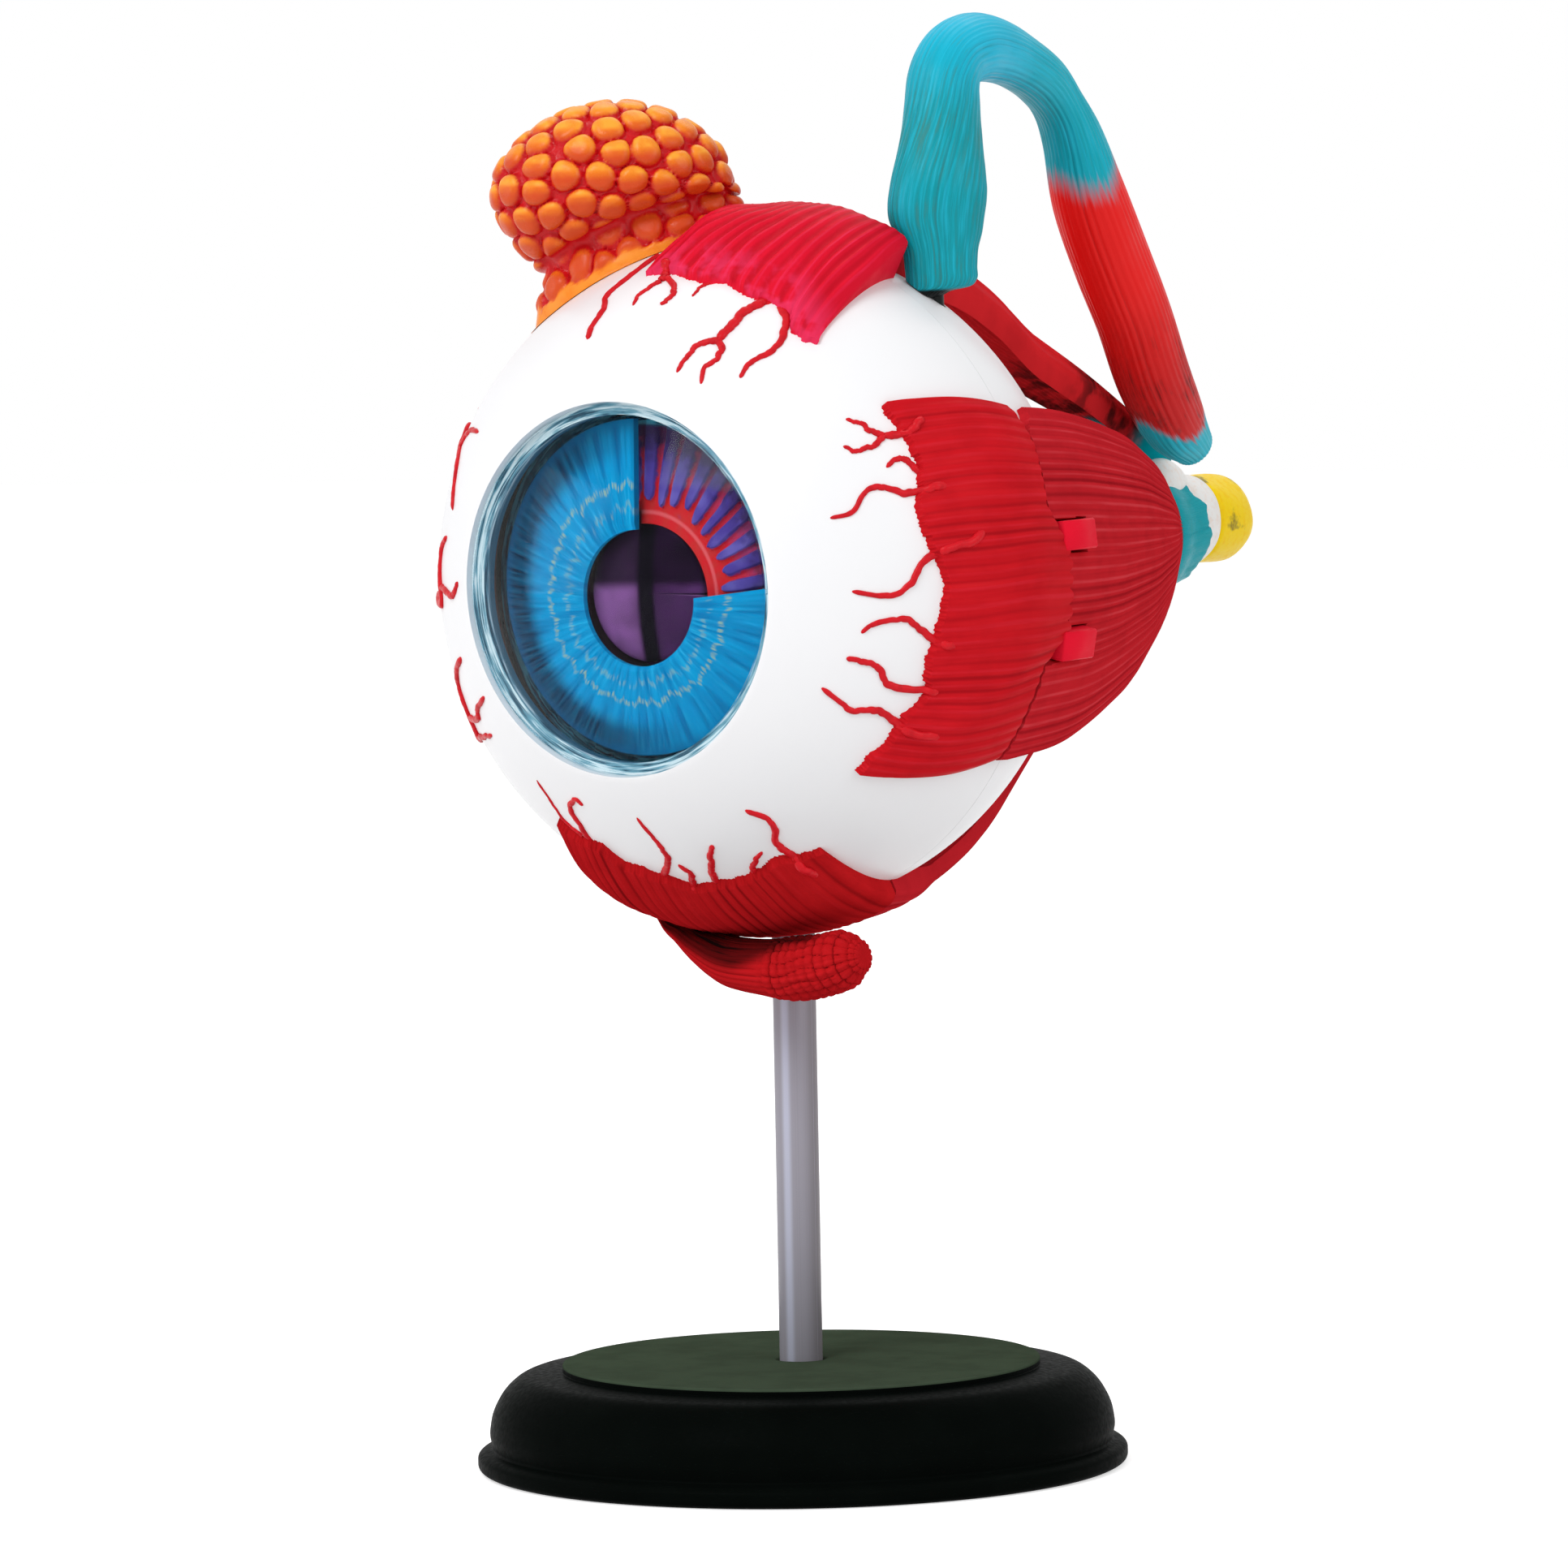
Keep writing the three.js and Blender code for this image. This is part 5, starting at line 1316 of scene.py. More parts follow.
class EYE_OT_gland(bpy.types.Operator):
    """The lacrimal gland, a cluster of lobules on a flared foot"""

    bl_idname = "eye.gland"
    bl_label = "Lacrimal gland"

    def execute(self, context):
        sides = 240
        rows = np.array(GLAND_ROWS)
        fine = smooth_route([(r[2], 0.0, 0.0, *r) for r in rows], GLAND_STEPS * (len(rows) - 1))[:, 3:]
        angle = np.linspace(0, 2 * np.pi, sides, endpoint=False)
        half, shift, height, depth, rise, arch = (fine[:, k : k + 1] for k in range(6))
        x = half * np.cos(angle) + shift
        away = depth * np.sin(angle)
        up = height + rise * np.cos(angle) - arch * np.sin(angle)
        surface = GLAND_SEAT + x[..., None] * GLAND_ACROSS + away[..., None] * GLAND_AWAY
        surface = surface + up[..., None] * np.array([0, 0, 1.0])
        du = np.gradient(surface, axis=0)
        dv = np.roll(surface, -1, axis=1) - np.roll(surface, 1, axis=1)
        normal = np.cross(dv, du)
        normal /= np.maximum(np.linalg.norm(normal, axis=-1, keepdims=True), 1e-9)
        flat = surface.reshape(-1, 3)
        size = mm("lobule_size")
        nearest, owner, centres = lobules(flat, size, LOBULE_SEED)
        level = (height + 0 * angle).reshape(-1)
        row = np.repeat(np.arange(len(fine)) / GLAND_STEPS, sides)
        above = (np.linalg.norm(flat / ball_halves(), axis=1) - 1) * mm("globe_radius")
        turns = np.tile(angle, len(fine)) * 9
        skirt = ease(1.9, 1.1, above + 0.5 * wander(turns, 1.0)) * (row < 2)
        crease = np.exp(-(((row - 2.2) / 0.32) ** 2))
        near, second, third = np.sort(nearest, axis=1).T
        limits = np.stack([(second - near) / 2, (third - near) / 2, 0.80 * size - near])
        edge = -np.log(np.sum(np.exp(-LOBULE_EDGE * limits), axis=0)) / LOBULE_EDGE + 0.03 * size
        share = np.clip(edge / (0.36 * size), 0, 1)
        knob = np.sqrt(1 - (1 - share) ** 2) * (0.8 + 0.2 * scatter(owner, 2.0)) * (1 - 0.75 * crease)
        ridge = 0.5 + 0.5 * wander(turns + level, 3.0)
        crest = lerp(knob, 0.8 + 0 * ridge, skirt)
        # drop carries the painted highlight and shade: height within each lobule, with the higher lobules
        # paler
        drop = (flat[:, 2] - centres[owner, 2]) / size + 0.06 * (level - 14.0)
        drop = lerp(drop, 0.15, skirt)
        lift = lerp(mm("lobule_height") * (knob - 0.62), 0.15 * (ridge - 0.5), skirt)
        points = flat + normal.reshape(-1, 3) * lift[:, None]
        points = out_of_ball(points, 0.1)
        faces = closed_tube(len(fine), sides)
        grain = np.stack([drop, ridge, crest], axis=-1)
        foot = peg(spoke(GLAND_BEARING, GLAND_SEAT[1], -PEG_SINK, 3.4), (0, 1.0, 0), (0, 0, 0.8))
        build(
            "lacrimal_gland_lobules", [(points, faces, grain), foot], finish_gland(),
            "lacrimal_gland", ("lacrimal_gland",), sharp=70,
        )
        return {"FINISHED"}


# Shells, linings and what they hold

SEAM = 0.06
OPENING_RADIUS = 21.3
PUPIL_DROP = 1.2  # the pupil sits this far below the gaze axis
LENS_BACK = 5.0
DOME_WALL = 1.1
SEAT_RADIUS = 19.5
SEAT_WALL = 1.7
SEAT_LEDGE = 2.2
LINING_GAP = 0.55
LINING_WALL = 1.4
RETINA_WALL = 1.0
SPIGOT_LENGTH = 3.0
RING_LINING_HOLE = 21.4
FILLING_FRONT = -12.4
SHEATH_RADIUS = 5.6
SOCKET_ROOF = 1.4
SOCKET_TOP = 27.0
SOCKET_RADIUS = 3.7
ROD_FIT = 0.09
ROD_HIGHLIGHT_BEARING = 277.0


def rod_axis(height):
    """A point on the rod's axis at a height above the table, in the eye's axes."""
    c, s = gaze_turn()
    y = mm("rod_behind_centre")
    z = height - mm("eye_height")
    return (0.0, y * c + z * s, -y * s + z * c)


def socket_roof():
    """Height of the rod socket's roof above the table."""
    return mm("eye_height") - (SOCKET_TOP + SOCKET_ROOF) * gaze_turn()[0]


def rear_cup(y0, offset, wall, hole, steps):
    """Profile of a cup that is open ahead of y0 and has a hole for the nerve."""
    outer = ball_arc(y0, ball_ahead(hole, offset), offset, steps)
    return outer + ball_arc(ball_ahead(hole, offset - wall), y0, offset - wall, steps)


def to_axis(profile):
    """A profile whose two ends are drawn in to the axis."""
    return [(AXIS_HOLE / 2, profile[0][1]), *profile[1:-1], (AXIS_HOLE / 2, profile[-1][1])]


class EYE_OT_shells(bpy.types.Operator):
    """The two white half shells, the rod's socket and the linings"""

    bl_idname = "eye.shells"
    bl_label = "Shells and linings"

    def execute(self, context):
        white = finish_sclera()
        hole = SHEATH_RADIUS + GAP
        parting = mm("parting_back")
        wall = mm("shell_wall")
        seat = mm("cornea_seat")
        lip = mm("cornea_radius") + GAP
        opening = float(ball_ahead(OPENING_RADIUS))
        back = SEAT_RADIUS + SEAT_LEDGE
        front = ball_arc(parting - SEAM / 2, -opening, 0, 56)
        front += [(lip + 0.1, -opening - 0.05), (lip, -seat - 0.6), (lip, -seat), (SEAT_RADIUS, -seat)]
        front += [(SEAT_RADIUS, -seat + SEAT_WALL), (back, -seat + SEAT_WALL)]
        front += ball_arc(-float(ball_ahead(back + 0.6, -wall)), parting - SEAM / 2, -wall, 30)
        front_shell = build(
            "white_shell_front", [ringed(front, 200)], white, "front_half",
            ("sclera_front",), sharp=30,
        )
        gland_hole = spoke(GLAND_BEARING, GLAND_SEAT[1], -HOLE_REACH, HOLE_REACH)
        cut_with(front_shell, round_cutter(*gland_hole, PEG_HOLE))

        rear = rear_cup(parting + SEAM / 2, 0, wall, hole, 44)
        rear_shell = build(
            "white_shell_rear", [ringed(rear, 200)], white, "rear_half",
            ("sclera_rear",), sharp=30,
        )
        roof = socket_roof()
        foot = mm("eye_height") - mm("globe_radius") - 8
        bore = mm("rod_radius") + ROD_FIT
        cut_with(
            rear_shell,
            round_cutter(rod_axis(foot), rod_axis(foot + 14), bore),
            round_cutter(*spoke(SLUNG_PEG_BEARING, SLUNG_PEG_BACK, -HOLE_REACH, HOLE_REACH), PEG_HOLE),
            round_cutter(superior_spot(-PEG_SINK - 0.5), superior_spot(HOLE_REACH), PEG_HOLE),
        )
        inside = mm("eye_height") - float(ball_radius(mm("rod_behind_centre"), -0.8))
        boss = [(bore, inside), (SOCKET_RADIUS, inside), (SOCKET_RADIUS, roof + 1.0)]
        boss += [(SOCKET_RADIUS - 0.4, roof + SOCKET_ROOF), (AXIS_HOLE / 2, roof + SOCKET_ROOF)]
        boss += [(AXIS_HOLE / 2, roof), (bore, roof)]
        build(
            "rod_socket", [ringed(boss, 64, upwards=True)], white, "rear_half",
            place=upright, sharp=30,
        )

        lining = -(wall + LINING_GAP)
        retina_offset = lining - LINING_WALL - LINING_GAP
        room = SOCKET_RADIUS + GAP
        dark = finish_plain("dark lining paint", paint("choroid"), 0.5, 0.5, 0.05, 1.2, shift=0.6)
        pink = finish_plain("orange lining paint", paint("retina"), 0.45, 0.6, 0.04, 1.4, shift=0.72)
        cup = ringed(rear_cup(parting - SPIGOT_LENGTH, lining, LINING_WALL, hole, 32), 128)
        choroid = build("choroid_cup", [cup], dark, "rear_half", ("choroid_rear",))
        cup = ringed(rear_cup(parting + GAP / 2, retina_offset, RETINA_WALL, hole, 32), 128)
        retina = build("retina_cup", [cup], pink, "rear_half", ("retina_rear",))
        for piece in (choroid, retina):
            cut_with(piece, round_cutter(rod_axis(foot), rod_axis(roof + SOCKET_ROOF + GAP), room))

        hollow = RING_LINING_HOLE + GAP
        outer = -float(ball_ahead(hollow + 1.2, lining))
        inner = -float(ball_ahead(hollow + 1.2, lining - LINING_WALL))
        ring = ball_arc(parting - SPIGOT_LENGTH - GAP, outer, lining, 24) + [(hollow, inner)]
        ring += ball_arc(inner + 1.2, parting - SPIGOT_LENGTH - GAP, lining - LINING_WALL, 24)
        build("choroid_ring", [ringed(ring, 128)], dark, "front_half", ("choroid_front",))

        jelly = retina_offset - RETINA_WALL - LINING_GAP
        back_end = mm("globe_half_length") + jelly
        dish = [(r, d - mm("lens_rim")) for r, d in lens_arc(LENS_BACK, mm("lens_radius"), 12, GAP)]
        dish = [p for p in dish if p[1] > FILLING_FRONT]
        profile = [(AXIS_HOLE, back_end), *ball_arc(back_end * 0.999, FILLING_FRONT, jelly, 40)]
        profile += [*dish[:-1], (AXIS_HOLE, dish[-1][1])]
        clear = finish_clear("clear filling", (0.93, 0.975, 0.98), 1.40, 0.02)
        filling = build(
            "vitreous_filling", [ringed(profile, 128)], clear, "rear_half", ("vitreous_body",)
        )
        cut_with(filling, round_cutter(rod_axis(foot), rod_axis(roof + SOCKET_ROOF + GAP), room))
        return {"FINISHED"}


def lens_arc(rise, rim, steps, grow):
    """Arc of (radius, distance from the rim plane) from the rim to the axis."""
    sphere = (rim * rim + rise * rise) / (2 * rise)
    radii = rim * (1 - np.linspace(0, 1, steps + 1))
    return [(float(r), float(math.sqrt(sphere * sphere - r * r) - (sphere - rise) + grow)) for r in radii]


class EYE_OT_optics(bpy.types.Operator):
    """The clear cornea and the lens"""

    bl_idname = "eye.optics"
    bl_label = "Cornea and lens"

    def execute(self, context):
        foot = mm("cornea_radius")
        seat = mm("cornea_seat") + GAP
        rise = mm("cornea_rise")
        outer = [(r, -(seat + d)) for r, d in lens_arc(rise, foot, 40, 0.9)]
        inner = [(r, -(seat + d)) for r, d in lens_arc(rise - 0.4, foot - DOME_WALL, 40, 0.2)]
        profile = to_axis(inner[::-1] + [(foot - DOME_WALL, -seat), (foot, -seat)] + outer)
        clear = finish_clear("clear cornea plastic", (0.90, 0.96, 0.975), 1.12)
        build("clear_cornea", [ringed(profile, 200)], clear, "cornea", ("cornea",), sharp=50)

        rim = mm("lens_rim")
        across = mm("lens_radius")
        crown = mm("pupil_radius") + 0.1
        ahead = [(across, -rim), (across - 0.4, -rim - 0.7), (crown, -rim - 1.3), (crown, -rim - 4.9)]
        ahead += [(r, -(rim + 5.1 + d)) for r, d in lens_arc(1.0, crown - 0.1, 20, 0)]
        behind = [(r, -(rim - d)) for r, d in lens_arc(LENS_BACK, across, 24, 0)]
        section = ringed(to_axis(behind[::-1] + ahead[1:]), 96)
        section[0][..., 2] -= PUPIL_DROP * 0.6
        build("dark_lens", [section], finish_lens(), "front_half", ("lens",), sharp=50)
        return {"FINISHED"}


RUFFLE_HEIGHT = 0.14
CILIARY_FOLDS = 40
FOLD_HEIGHT = 0.62
CILIARY_RIM_FRONT = 21.4
CILIARY_BACK = 17.0


class EYE_OT_iris(bpy.types.Operator):
    """The iris with its quarter cut away, and the ciliary body that shows there"""

    bl_idname = "eye.iris"
    bl_label = "Iris and ciliary body"

    def execute(self, context):
        rim_front, pupil_front, wall = 21.9, 22.6, 0.9
        rows, cols = 64, 541
        u = np.linspace(0, 1, rows)[:, None]
        v = np.linspace(0, 1, cols)[None, :]
        radius = lerp(mm("pupil_radius"), mm("iris_radius"), u)
        bearing = 90 + 270 * v
        ruffle = wander(bearing * 0.62, 1.0) + 0.6 * wander(bearing * 1.31 + 0.25 * radius, 4.0)
        spokes = wander(bearing * 1.7, 2.0)
        hill = 0.16 * np.exp(-(((radius - 11.8 - 0.4 * wander(bearing * 0.23, 7.0)) / 0.9) ** 2))
        relief = RUFFLE_HEIGHT * ruffle * ease(12.4, 14.5, radius) * ease(19.1, 17.6, radius)
        relief = relief + 0.07 * spokes * ease(13.0, 11.5, radius) * ease(7.9, 8.8, radius) + hill
        relief = relief * ease(0, 0.006, v) * ease(0, 0.006, 1 - v)
        edge = -0.22 * ease(8.35, 7.9, radius)
        ahead = lerp(pupil_front, rim_front, u) + relief + edge
        top = polar(radius, bearing, -ahead)
        low = polar(radius, bearing, wall - lerp(pupil_front, rim_front, u))
        top[..., 2] -= PUPIL_DROP * (1 - u)
        low[..., 2] -= PUPIL_DROP * (1 - u)
        points, faces, grain = slab(top, low, bearing + 0 * u, relief / RUFFLE_HEIGHT + 0 * u, radius + 0 * v)
        grain[rows * cols :, 2] = np.repeat(radius, cols, axis=1).reshape(-1)
        build("blue_iris", [(points, faces, grain)], finish_iris(), "front_half", ("iris",), sharp=60)

        steps, angles = 52, 900
        inner, outer = 8.3, RING_LINING_HOLE
        radius = np.linspace(inner, outer, steps)[:, None]
        bearing = np.linspace(0, 360, angles, endpoint=False)[None, :]
        x = bearing / 360 * CILIARY_FOLDS + 0.10 * wander(bearing * 0.35 + radius * 0.2, 3.0)
        number = np.floor(x)
        tip = 10.3 + 0.9 * scatter(number, 4.0)
        side = np.abs(x - number - 0.5) * 2
        round_in = np.clip((radius - tip) / 1.3, 0, 1)
        width = 0.84 * np.sqrt(1 - (1 - round_in) ** 2)
        fold = ease(1.0, 0.62, side / np.maximum(width, 1e-3)) * (radius > tip)
        cone = lerp(21.3, 20.7, (radius - 7.9) / (19.1 - 7.9)) - 0.8
        ahead = cone + FOLD_HEIGHT * fold * ease(outer, 19.0, radius)
        ahead = np.where(radius > 19.4, np.minimum(ahead, CILIARY_RIM_FRONT), ahead)
        face = polar(radius, bearing, -ahead)
        face[..., 2] -= PUPIL_DROP * (outer - radius) / (outer - inner)
        back = np.stack([face[..., 0], 0 * ahead - CILIARY_BACK, face[..., 2]], axis=-1)[[0, -1]]
        grid = np.concatenate([back[:1], face, back[1:]])
        rings = len(grid)
        faces = grid_faces(rings, angles, around=True)
        last = (rings - 1) * angles
        for j in range(angles):
            k = (j + 1) % angles
            faces.append([last + j, last + k, k, j])
        grain = np.stack([x + 0 * radius, fold + 0 * radius, radius + 0 * x], axis=-1)
        grain = np.concatenate([grain[:1] * np.array([1, 1, 0]), grain, grain[-1:]])
        build(
            "ciliary_folds", [(grid, faces, grain)], finish_ciliary(), "front_half",
            ("ciliary_body",), sharp=60,
        )
        return {"FINISHED"}


# Surface vessels

# Each run gives its bearing and its angle from the gaze, from the root to the tip, in degrees, with the
# share of the root's thickness at its two ends.
VESSELS = [
    ([(99, 75), (100, 68), (102, 63), (103, 60), (102, 55), (103, 51), (103, 48)], 0.8, 0.6),
    ([(93, 68), (91, 64), (91, 62)], 1.0, 0.9),
    ([(91, 62), (92, 61), (94, 58), (94, 55)], 0.8, 0.3),
    ([(90, 63), (86, 59), (86, 56), (87, 55)], 0.8, 0.4),
    ([(79, 65), (80, 63), (81, 60), (81, 58)], 0.6, 0.2),
    ([(65, 64), (67, 62), (68, 58), (68, 54), (68, 50)], 1.1, 0.9),
    ([(68, 50), (71, 48), (72, 45), (72, 41)], 0.9, 0.35),
    ([(68, 50), (66, 49), (65, 47), (66, 44), (64, 41)], 0.9, 0.35),
    ([(65, 64), (63, 63), (59, 60), (57, 56), (57, 52), (58, 49), (57, 46)], 1.1, 0.4),
    ([(30, 70), (28, 66), (29, 61)], 0.9, 0.8),
    ([(29, 61), (31, 59), (33, 58), (35, 56)], 0.8, 0.3),
    ([(29, 61), (28, 59), (28, 55), (30, 53)], 0.8, 0.3),
    ([(19, 66), (22, 64), (24, 62), (23, 59)], 1.0, 0.35),
    (
        [(13, 74), (16, 70), (17, 67), (17, 64), (17, 61), (19, 58), (20, 56), (19, 53), (16, 50), (16, 46)],
        1.1, 0.35,
    ),
    (
        [(12, 78), (9, 75), (7, 72), (6, 68), (5, 64), (3, 61), (0, 59), (-2, 56), (-2, 53), (-1, 48)],
        1.2, 0.4,
    ),
    ([(-10, 73), (-11, 68), (-11, 65), (-9, 62), (-7, 59), (-7, 56), (-8, 52), (-10, 50)], 1.1, 0.35),
    ([(-19, 69), (-20, 65), (-20, 57), (-17, 54), (-16, 51), (-16, 48)], 1.0, 0.45),
    ([(-30, 75), (-28, 69), (-28, 63), (-26, 58), (-26, 55), (-27, 52), (-26, 49), (-24, 45)], 1.2, 0.4),
    ([(248, 52.5), (247, 52), (243, 50), (240, 46), (236, 43)], 0.6, 0.2),
    ([(251, 56), (250, 53), (249, 49), (247, 45), (248, 43), (250, 41), (252, 42)], 0.9, 0.4),
    ([(264, 61), (266, 59), (269, 55), (271, 52), (271, 49), (270, 45), (269, 42)], 1.1, 0.25),
    ([(270, 64.5), (271, 62), (273, 58), (272, 55)], 1.0, 0.45),
    ([(277, 63.5), (277, 61), (279, 57), (281, 54), (284, 51)], 1.0, 0.5),
    ([(285, 63), (288, 59), (292, 57)], 0.9, 0.35),
    ([(295, 69.5), (296, 67), (296, 64), (296, 60), (296, 57), (299, 54), (300, 51), (298, 47)], 1.2, 0.5),
    ([(160, 76), (155, 68), (148, 62), (151, 59), (153, 53), (157, 48), (161, 45)], 1.1, 0.5),
    ([(151, 59), (146, 55), (142, 48)], 0.8, 0.4),
    ([(180, 78), (184, 68), (182, 60), (184, 50), (176, 50), (171, 49), (168, 46)], 1.2, 0.6),
    ([(184, 50), (180, 48), (182, 41), (181, 39), (178, 37)], 0.9, 0.5),
    ([(203, 76), (208, 68), (212, 59), (206, 54), (202, 52), (199, 47), (198, 42)], 1.2, 0.6),
    ([(208, 57), (212, 46), (211, 45), (211, 38)], 0.9, 0.5),
    ([(212, 59), (215, 51), (218, 45)], 0.8, 0.4),
]
ROUTE_RADIUS, ROUTE_LENGTH = 38.0, 40.0  # rough half sizes over which the runs are smoothed


def skin_offset(phi, ahead):
    """Height of the front muscles over the shell at a bearing and a distance ahead of the centre."""
    lift = 0.0
    for m in MUSCLES.values():
        for turn in (-360, 0, 360):
            here = phi + turn
            low, high = sorted((m["front"][0][0], m["front"][-1][0]))
            if not low <= here <= high:
                continue
            edge = (mm("globe_half_length") + GAP) * math.cos(math.radians(float(table(m["front"], here))))
            back = -(float(table(m["split"], here)) - GAP / 2)
            u = (edge - ahead) / max(edge - back, 1e-6)
            if u > 0:
                lift = max(lift, (GAP + front_height(m, u) - 0.15) * float(ease(0, 0.07, u)))
    return lift


class EYE_OT_vessels(bpy.types.Operator):
    """Raised red vessels that leave the muscles and branch over the white shell"""

    bl_idname = "eye.vessels"
    bl_label = "Vessels"

    def execute(self, context):
        sections = []
        half = mm("globe_half_length")
        root, tip = mm("vessel_root"), mm("vessel_tip")
        for salt, (run, first, last) in enumerate(VESSELS):
            rows = []
            for p, t in run:
                place = polar(ROUTE_RADIUS, p, -ROUTE_LENGTH * math.cos(math.radians(t)))
                rows.append((*place, p, t))
            fine = smooth_route(rows, 14 * (len(run) - 1))
            share = np.linspace(0, 1, len(fine))
            phi = fine[:, 3] + 0.35 * wander(share * 17, salt) * np.sin(np.pi * share)
            theta = fine[:, 4] + 0.30 * wander(share * 13, salt + 3) * np.sin(np.pi * share)
            radii = lerp(first * root, last * root + tip * 0.4, share**0.85)
            radii = radii * (1 + 0.12 * wander(share * 30, salt))
            radii[-3:] *= np.array([0.9, 0.7, 0.35])
            rooted = skin_offset(phi[0], half * math.cos(math.radians(theta[0]))) > 0.4
            sink = 2.4 * root * ease(0.25, 0.0, share) * rooted
            centre, out = [], []
            for p, t, r, s in zip(phi, theta, radii, sink):
                offset = skin_offset(p, half * math.cos(math.radians(t))) + 0.18 * r - s
                ahead = (half + offset) * math.cos(math.radians(t))
                centre.append(polar(ball_radius(ahead, offset), p, -ahead))
                normal = centre[-1] / ball_halves() ** 2
                out.append(normal / np.linalg.norm(normal))
            sections.append(tube(centre, radii, np.array(out), 10, 0.75))
        build("raised_vessels", sections, finish_vessel(), "front_half", sharp=60)
        return {"FINISHED"}


# Nerve

SHEATH_END = 90.7
NERVE_END = 100.4
NERVE_RADIUS = 5.55
NERVE_LIFT = 1.0


def lifted(section):
    """Bends the nerve's end up a little."""
    section[0][..., 2] += NERVE_LIFT * ease(79, 90, section[0][..., 1])


class EYE_OT_nerve(bpy.types.Operator):
    """The optic nerve: white sheath, teal ring and yellow end"""

    bl_idname = "eye.nerve"
    bl_label = "Optic nerve"

    def execute(self, context):
        start = mm("globe_half_length") - mm("shell_wall") - LINING_GAP - LINING_WALL - 2.4

        def soft(radius, along, angle):
            swell = 0.10 * np.sin(2 * angle + along * 0.35) + 0.06 * np.sin(5 * angle + along * 0.6)
            return radius + swell * (radius > 1), along

        def ragged(radius, along, angle):
            rear = along > RING_BACK - 2.5
            shift = 0.9 * wander(angle * 3.0, 2.0) + 0.35 * wander(angle * 9.0, 5.0)
            shift = shift + 0.9 * np.cos(angle - 5.2)
            ribs = 0.10 * np.sqrt(np.abs(np.sin(angle * 14 + 0.3 * wander(along * 0.5 + angle, 1.0))))
            return radius + ribs, along + np.where(rear, shift, 0)

        sheath = [(AXIS_HOLE, start), (SHEATH_RADIUS - 1, start), (SHEATH_RADIUS, start + 1)]
        sheath += [(SHEATH_RADIUS, along) for along in (60, 70, 80, 85)]
        sheath += [(SHEATH_RADIUS + 0.3, 88), (SHEATH_RADIUS + 0.3, SHEATH_END - 0.6)]
        sheath += [(SHEATH_RADIUS, SHEATH_END), (AXIS_HOLE, SHEATH_END)]
        white = finish_nerve("white sheath paint", paint("nerve_white"), 0.0)
        mound = []
        for t in np.linspace(0, 1, 25):
            swell = math.sin(math.pi * t) ** 0.8
            middle = [3.4, lerp(71.0, 86.5, t), SHEATH_RADIUS + 0.6 * swell]
            mound.append([*middle, 0.15 + 3.2 * swell, 0.15 + 2.6 * swell, 0, 0])
        lump = swept(mound, 60, 40, 5, 0.05, 2.0, caps=(0.2, 0.2))
        body = ringed(sheath, 96, wobble=soft)
        lifted(body)
        build("nerve_sheath", [body, lump], white, "rear_half", ("optic_nerve_sheath",))
        core = [(AXIS_HOLE, SHEATH_END - 1), (3.5, SHEATH_END - 1), (NERVE_RADIUS - 0.5, SHEATH_END + 0.1)]
        core += [(NERVE_RADIUS, SHEATH_END + 0.8), (NERVE_RADIUS + 0.05, 94), (NERVE_RADIUS + 0.05, 96)]
        core += [(NERVE_RADIUS - 0.1, NERVE_END - 2.4), (NERVE_RADIUS - 0.8, NERVE_END - 0.9)]
        core += [(NERVE_RADIUS - 2.0, NERVE_END - 0.15), (AXIS_HOLE, NERVE_END)]
        core = rounded_profile(core, 0.6)
        yellow = finish_nerve("yellow nerve paint", paint("nerve"), 0.8)
        end = ringed(core, 96, wobble=soft)
        lifted(end)
        build("nerve_end", [end], yellow, "rear_half", ("optic_nerve_core",))
        bore = SHEATH_RADIUS - 0.1
        ring = [(bore, RING_FRONT - 0.6), (RING_FRONT_RADIUS - 0.1, RING_FRONT - 0.6)]
        ring.append((RING_FRONT_RADIUS, RING_FRONT))
        for t in np.linspace(0.1, 0.85, 10):
            radius = lerp(RING_FRONT_RADIUS, RING_BACK_RADIUS, t) + 0.15 * math.sin(9 * t)
            ring.append((radius, lerp(RING_FRONT, RING_BACK, t)))
        ring += [(RING_BACK_RADIUS - 0.1, RING_BACK - 0.7), (RING_BACK_RADIUS - 0.7, RING_BACK)]
        ring.append((bore, RING_BACK + 0.2))
        cone = ringed(ring, 160, wobble=ragged)
        lifted(cone)
        build("teal_tendon_ring", [cone], finish_ring(), "rear_half", ("tendon_ring",))
        return {"FINISHED"}


# Stand


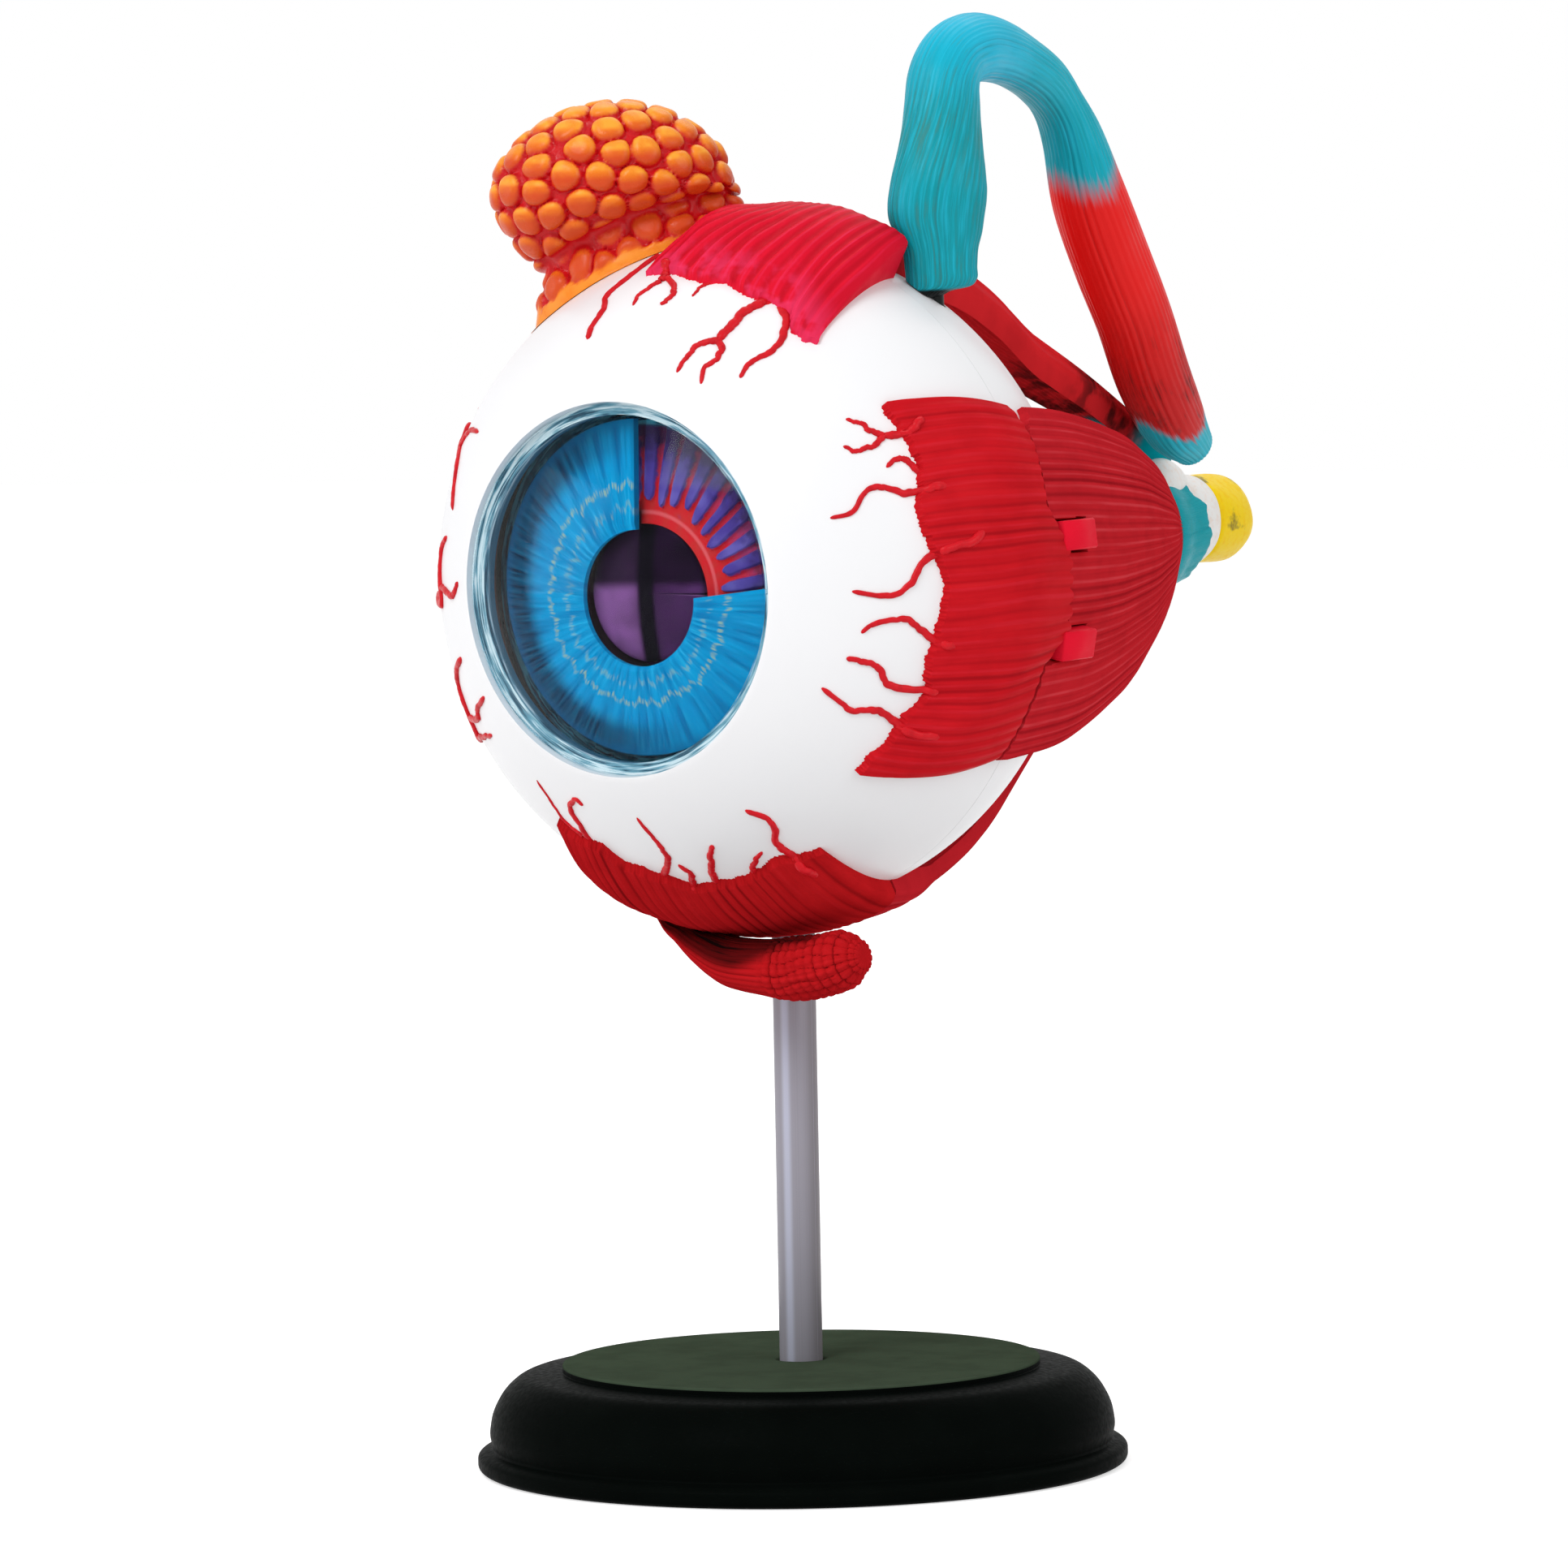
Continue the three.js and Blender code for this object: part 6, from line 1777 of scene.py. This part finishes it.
class EYE_OT_stand(bpy.types.Operator):
    """The round moulded base and its rod"""

    bl_idname = "eye.stand"
    bl_label = "Base and rod"

    def execute(self, context):
        rim, top, height = mm("base_rim_radius"), mm("base_top_radius"), mm("base_height")
        dome, rim_height, shoulder = 36.3, 2.4, height - 0.9
        hole = mm("rod_radius") + ROD_FIT
        profile = [
            (AXIS_HOLE, 0.0), (rim - 0.9, 0.0), (rim, 0.5), (rim, rim_height - 0.5), (rim - 0.7, rim_height),
            (dome - 0.35, rim_height + 0.3, 0.3), (dome, lerp(rim_height, shoulder, 0.22)),
            (dome - 0.35, lerp(rim_height, shoulder, 0.48), 2),
            (dome - 1.7, lerp(rim_height, shoulder, 0.76), 2),
            (lerp(top, dome, 0.56), lerp(rim_height, shoulder, 0.955), 2.5), (top + 0.8, shoulder, 0.6),
            (top, shoulder, 0.12), (top, height, 0.32), (hole + 0.35, height, 0.3),
            (hole, height - 0.35, 0.2), (hole, 2.0), (AXIS_HOLE, 2.0),
        ]
        profile = rounded_profile(profile, 0.5, 6)
        black = finish_plain(
            "near black moulding", paint("base"), 0.42, 0.4, 0.03, 1.6, shift=1.6, specular=0.004
        )
        base = build(
            "moulded_base", [ringed(profile, 220, upwards=True)], black, "stand", ("stand_base",),
            place=upright, sharp=45,
        )
        # paler disc: partly its own tone, partly a painted sheen of its upward face
        disc = finish_plain(
            "raised disc moulding", paint("base_disc"), 0.5, 0.5, 0.03, 2.6, shift=0.72, specular=0.0
        )
        base.data.materials.append(disc)
        for face in base.data.polygons:
            if face.center.z > (height - 0.5) / 1000:
                face.material_index = 1
        rod = mm("rod_radius")
        end = socket_roof() - GAP
        bar = [(AXIS_HOLE, 2.3), (rod - 0.3, 2.3), (rod, 2.6)]
        bar += [(rod, end - 0.3), (rod - 0.3, end), (AXIS_HOLE, end)]
        build(
            "round_rod", [ringed(bar, 96, upwards=True)], finish_rod(), "stand", ("stand_rod",),
            place=upright, sharp=50,
        )
        return {"FINISHED"}


# Stage

FLOOR_HALF = 8.0
FLOOR_GLOW = 0.56


def lamp(name, azimuth, elevation, distance, size, power):
    """A square lamp that faces the model; its power holds for a distance of one metre."""
    light = bpy.data.lights.new(name, "AREA")
    light.shape = "RECTANGLE"
    light.size = light.size_y = size
    light.energy = power * distance**2
    holder = bpy.data.objects.new(name, light)
    a, e = math.radians(azimuth), math.radians(elevation)
    aim = Vector((0, 0.01, 0.09))
    spot = Vector((math.sin(a) * math.cos(e), -math.cos(a) * math.cos(e), math.sin(e))) * distance
    holder.location = aim + spot
    holder.rotation_euler = spot.to_track_quat("Z", "Y").to_euler()
    bpy.context.scene.collection.objects.link(holder)


class EYE_OT_stage(bpy.types.Operator):
    """Camera, soft studio light, plain pale floor and white surroundings"""

    bl_idname = "eye.stage"
    bl_label = "Camera, light and floor"

    def execute(self, context):
        scene = context.scene
        stage = scene.eye_stage
        lens = bpy.data.cameras.new("main camera")
        lens.sensor_fit = "HORIZONTAL"
        lens.sensor_width = 36
        lens.lens = stage.lens_length
        lens.clip_start = 0.02
        lens.clip_end = 50
        camera = bpy.data.objects.new("main camera", lens)
        turn = Matrix.Rotation(stage.camera_azimuth, 4, "Z")
        turn = turn @ Matrix.Rotation(math.pi / 2 - stage.camera_drop, 4, "X")
        turn = turn @ Matrix.Rotation(stage.camera_roll, 4, "Z")
        camera.matrix_world = Matrix.Translation(stage.camera_place) @ turn
        scene.collection.objects.link(camera)
        scene.camera = camera

        lamp("key lamp", 0, 40, 1.3, 0.58, stage.key_light)
        lamp("left lamp", -48, 8, 1.4, 0.8, stage.fill_light * 0.8)
        lamp("fill lamp", 84, 24, 1.4, 0.7, stage.fill_light)
        lamp("top lamp", 200, 62, 1.3, 0.8, stage.fill_light * 0.8)

        world = bpy.data.worlds.new("white room")
        world.use_nodes = True
        scene.world = world
        tree = world.node_tree
        dim = tree.nodes["Background"]
        dim.inputs["Color"].default_value = (1, 1, 1, 1)
        dim.inputs["Strength"].default_value = stage.room_light
        bright = put(tree, "ShaderNodeBackground", {"Color": (1, 1, 1), "Strength": 1.0})
        mixed(tree, shows(tree, "Camera", "Transmission", "Glossy"), dim, bright, "World Output")

        mesh = bpy.data.meshes.new("floor")
        sheet = [(x * FLOOR_HALF, y * FLOOR_HALF, 0) for x, y in ((-1, -1), (1, -1), (1, 1), (-1, 1))]
        mesh.from_pydata(sheet, [], [(0, 1, 2, 3)])
        floor = bpy.data.objects.new("floor", mesh)
        scene.collection.objects.link(floor)
        pale = Finish("pale floor", tuple(stage.floor_colour), 0.9, 0.0)
        glow = shows(pale.tree, "Camera", "Glossy", "Transmission") * FLOOR_GLOW
        pale.shader.inputs["Emission Color"].default_value = (1, 1, 1, 1)
        feed(pale.tree, pale.shader.inputs["Emission Strength"], glow)
        mesh.materials.append(pale.material)

        scene.view_settings.view_transform = "Standard"
        return {"FINISHED"}


class EYE_PT_panel(bpy.types.Panel):
    """Sizes, colours and the pieces' operators"""

    bl_label = "Eye model"
    bl_idname = "EYE_PT_panel"
    bl_space_type = "VIEW_3D"
    bl_region_type = "UI"
    bl_category = "Eye model"

    def draw(self, context):
        layout = self.layout
        for group in (context.scene.eye_sizes, context.scene.eye_colours, context.scene.eye_stage):
            box = layout.box()
            for key in group.__annotations__:
                box.prop(group, key)
        for operator in OPERATORS:
            layout.operator(operator.bl_idname)


OPERATORS = (
    EYE_OT_stage,
    EYE_OT_stand,
    EYE_OT_shells,
    EYE_OT_optics,
    EYE_OT_iris,
    EYE_OT_front_muscles,
    EYE_OT_rear_muscles,
    EYE_OT_superior_oblique,
    EYE_OT_inferior_oblique,
    EYE_OT_gland,
    EYE_OT_vessels,
    EYE_OT_nerve,
)
CLASSES = (EyeSizes, EyeColours, EyeStage, *OPERATORS, EYE_PT_panel)


def register():
    for each in CLASSES:
        bpy.utils.register_class(each)
    bpy.types.Scene.eye_sizes = bpy.props.PointerProperty(type=EyeSizes)
    bpy.types.Scene.eye_colours = bpy.props.PointerProperty(type=EyeColours)
    bpy.types.Scene.eye_stage = bpy.props.PointerProperty(type=EyeStage)


def unregister():
    del bpy.types.Scene.eye_stage
    del bpy.types.Scene.eye_colours
    del bpy.types.Scene.eye_sizes
    for each in reversed(CLASSES):
        bpy.utils.unregister_class(each)


def main():
    register()
    bpy.ops.eye.stage()
    bpy.ops.eye.stand()
    bpy.ops.eye.shells()
    bpy.ops.eye.optics()
    bpy.ops.eye.iris()
    bpy.ops.eye.front_muscles()
    bpy.ops.eye.rear_muscles()
    bpy.ops.eye.superior_oblique()
    bpy.ops.eye.inferior_oblique()
    bpy.ops.eye.gland()
    bpy.ops.eye.vessels()
    bpy.ops.eye.nerve()


if __name__ == "__main__":
    main()
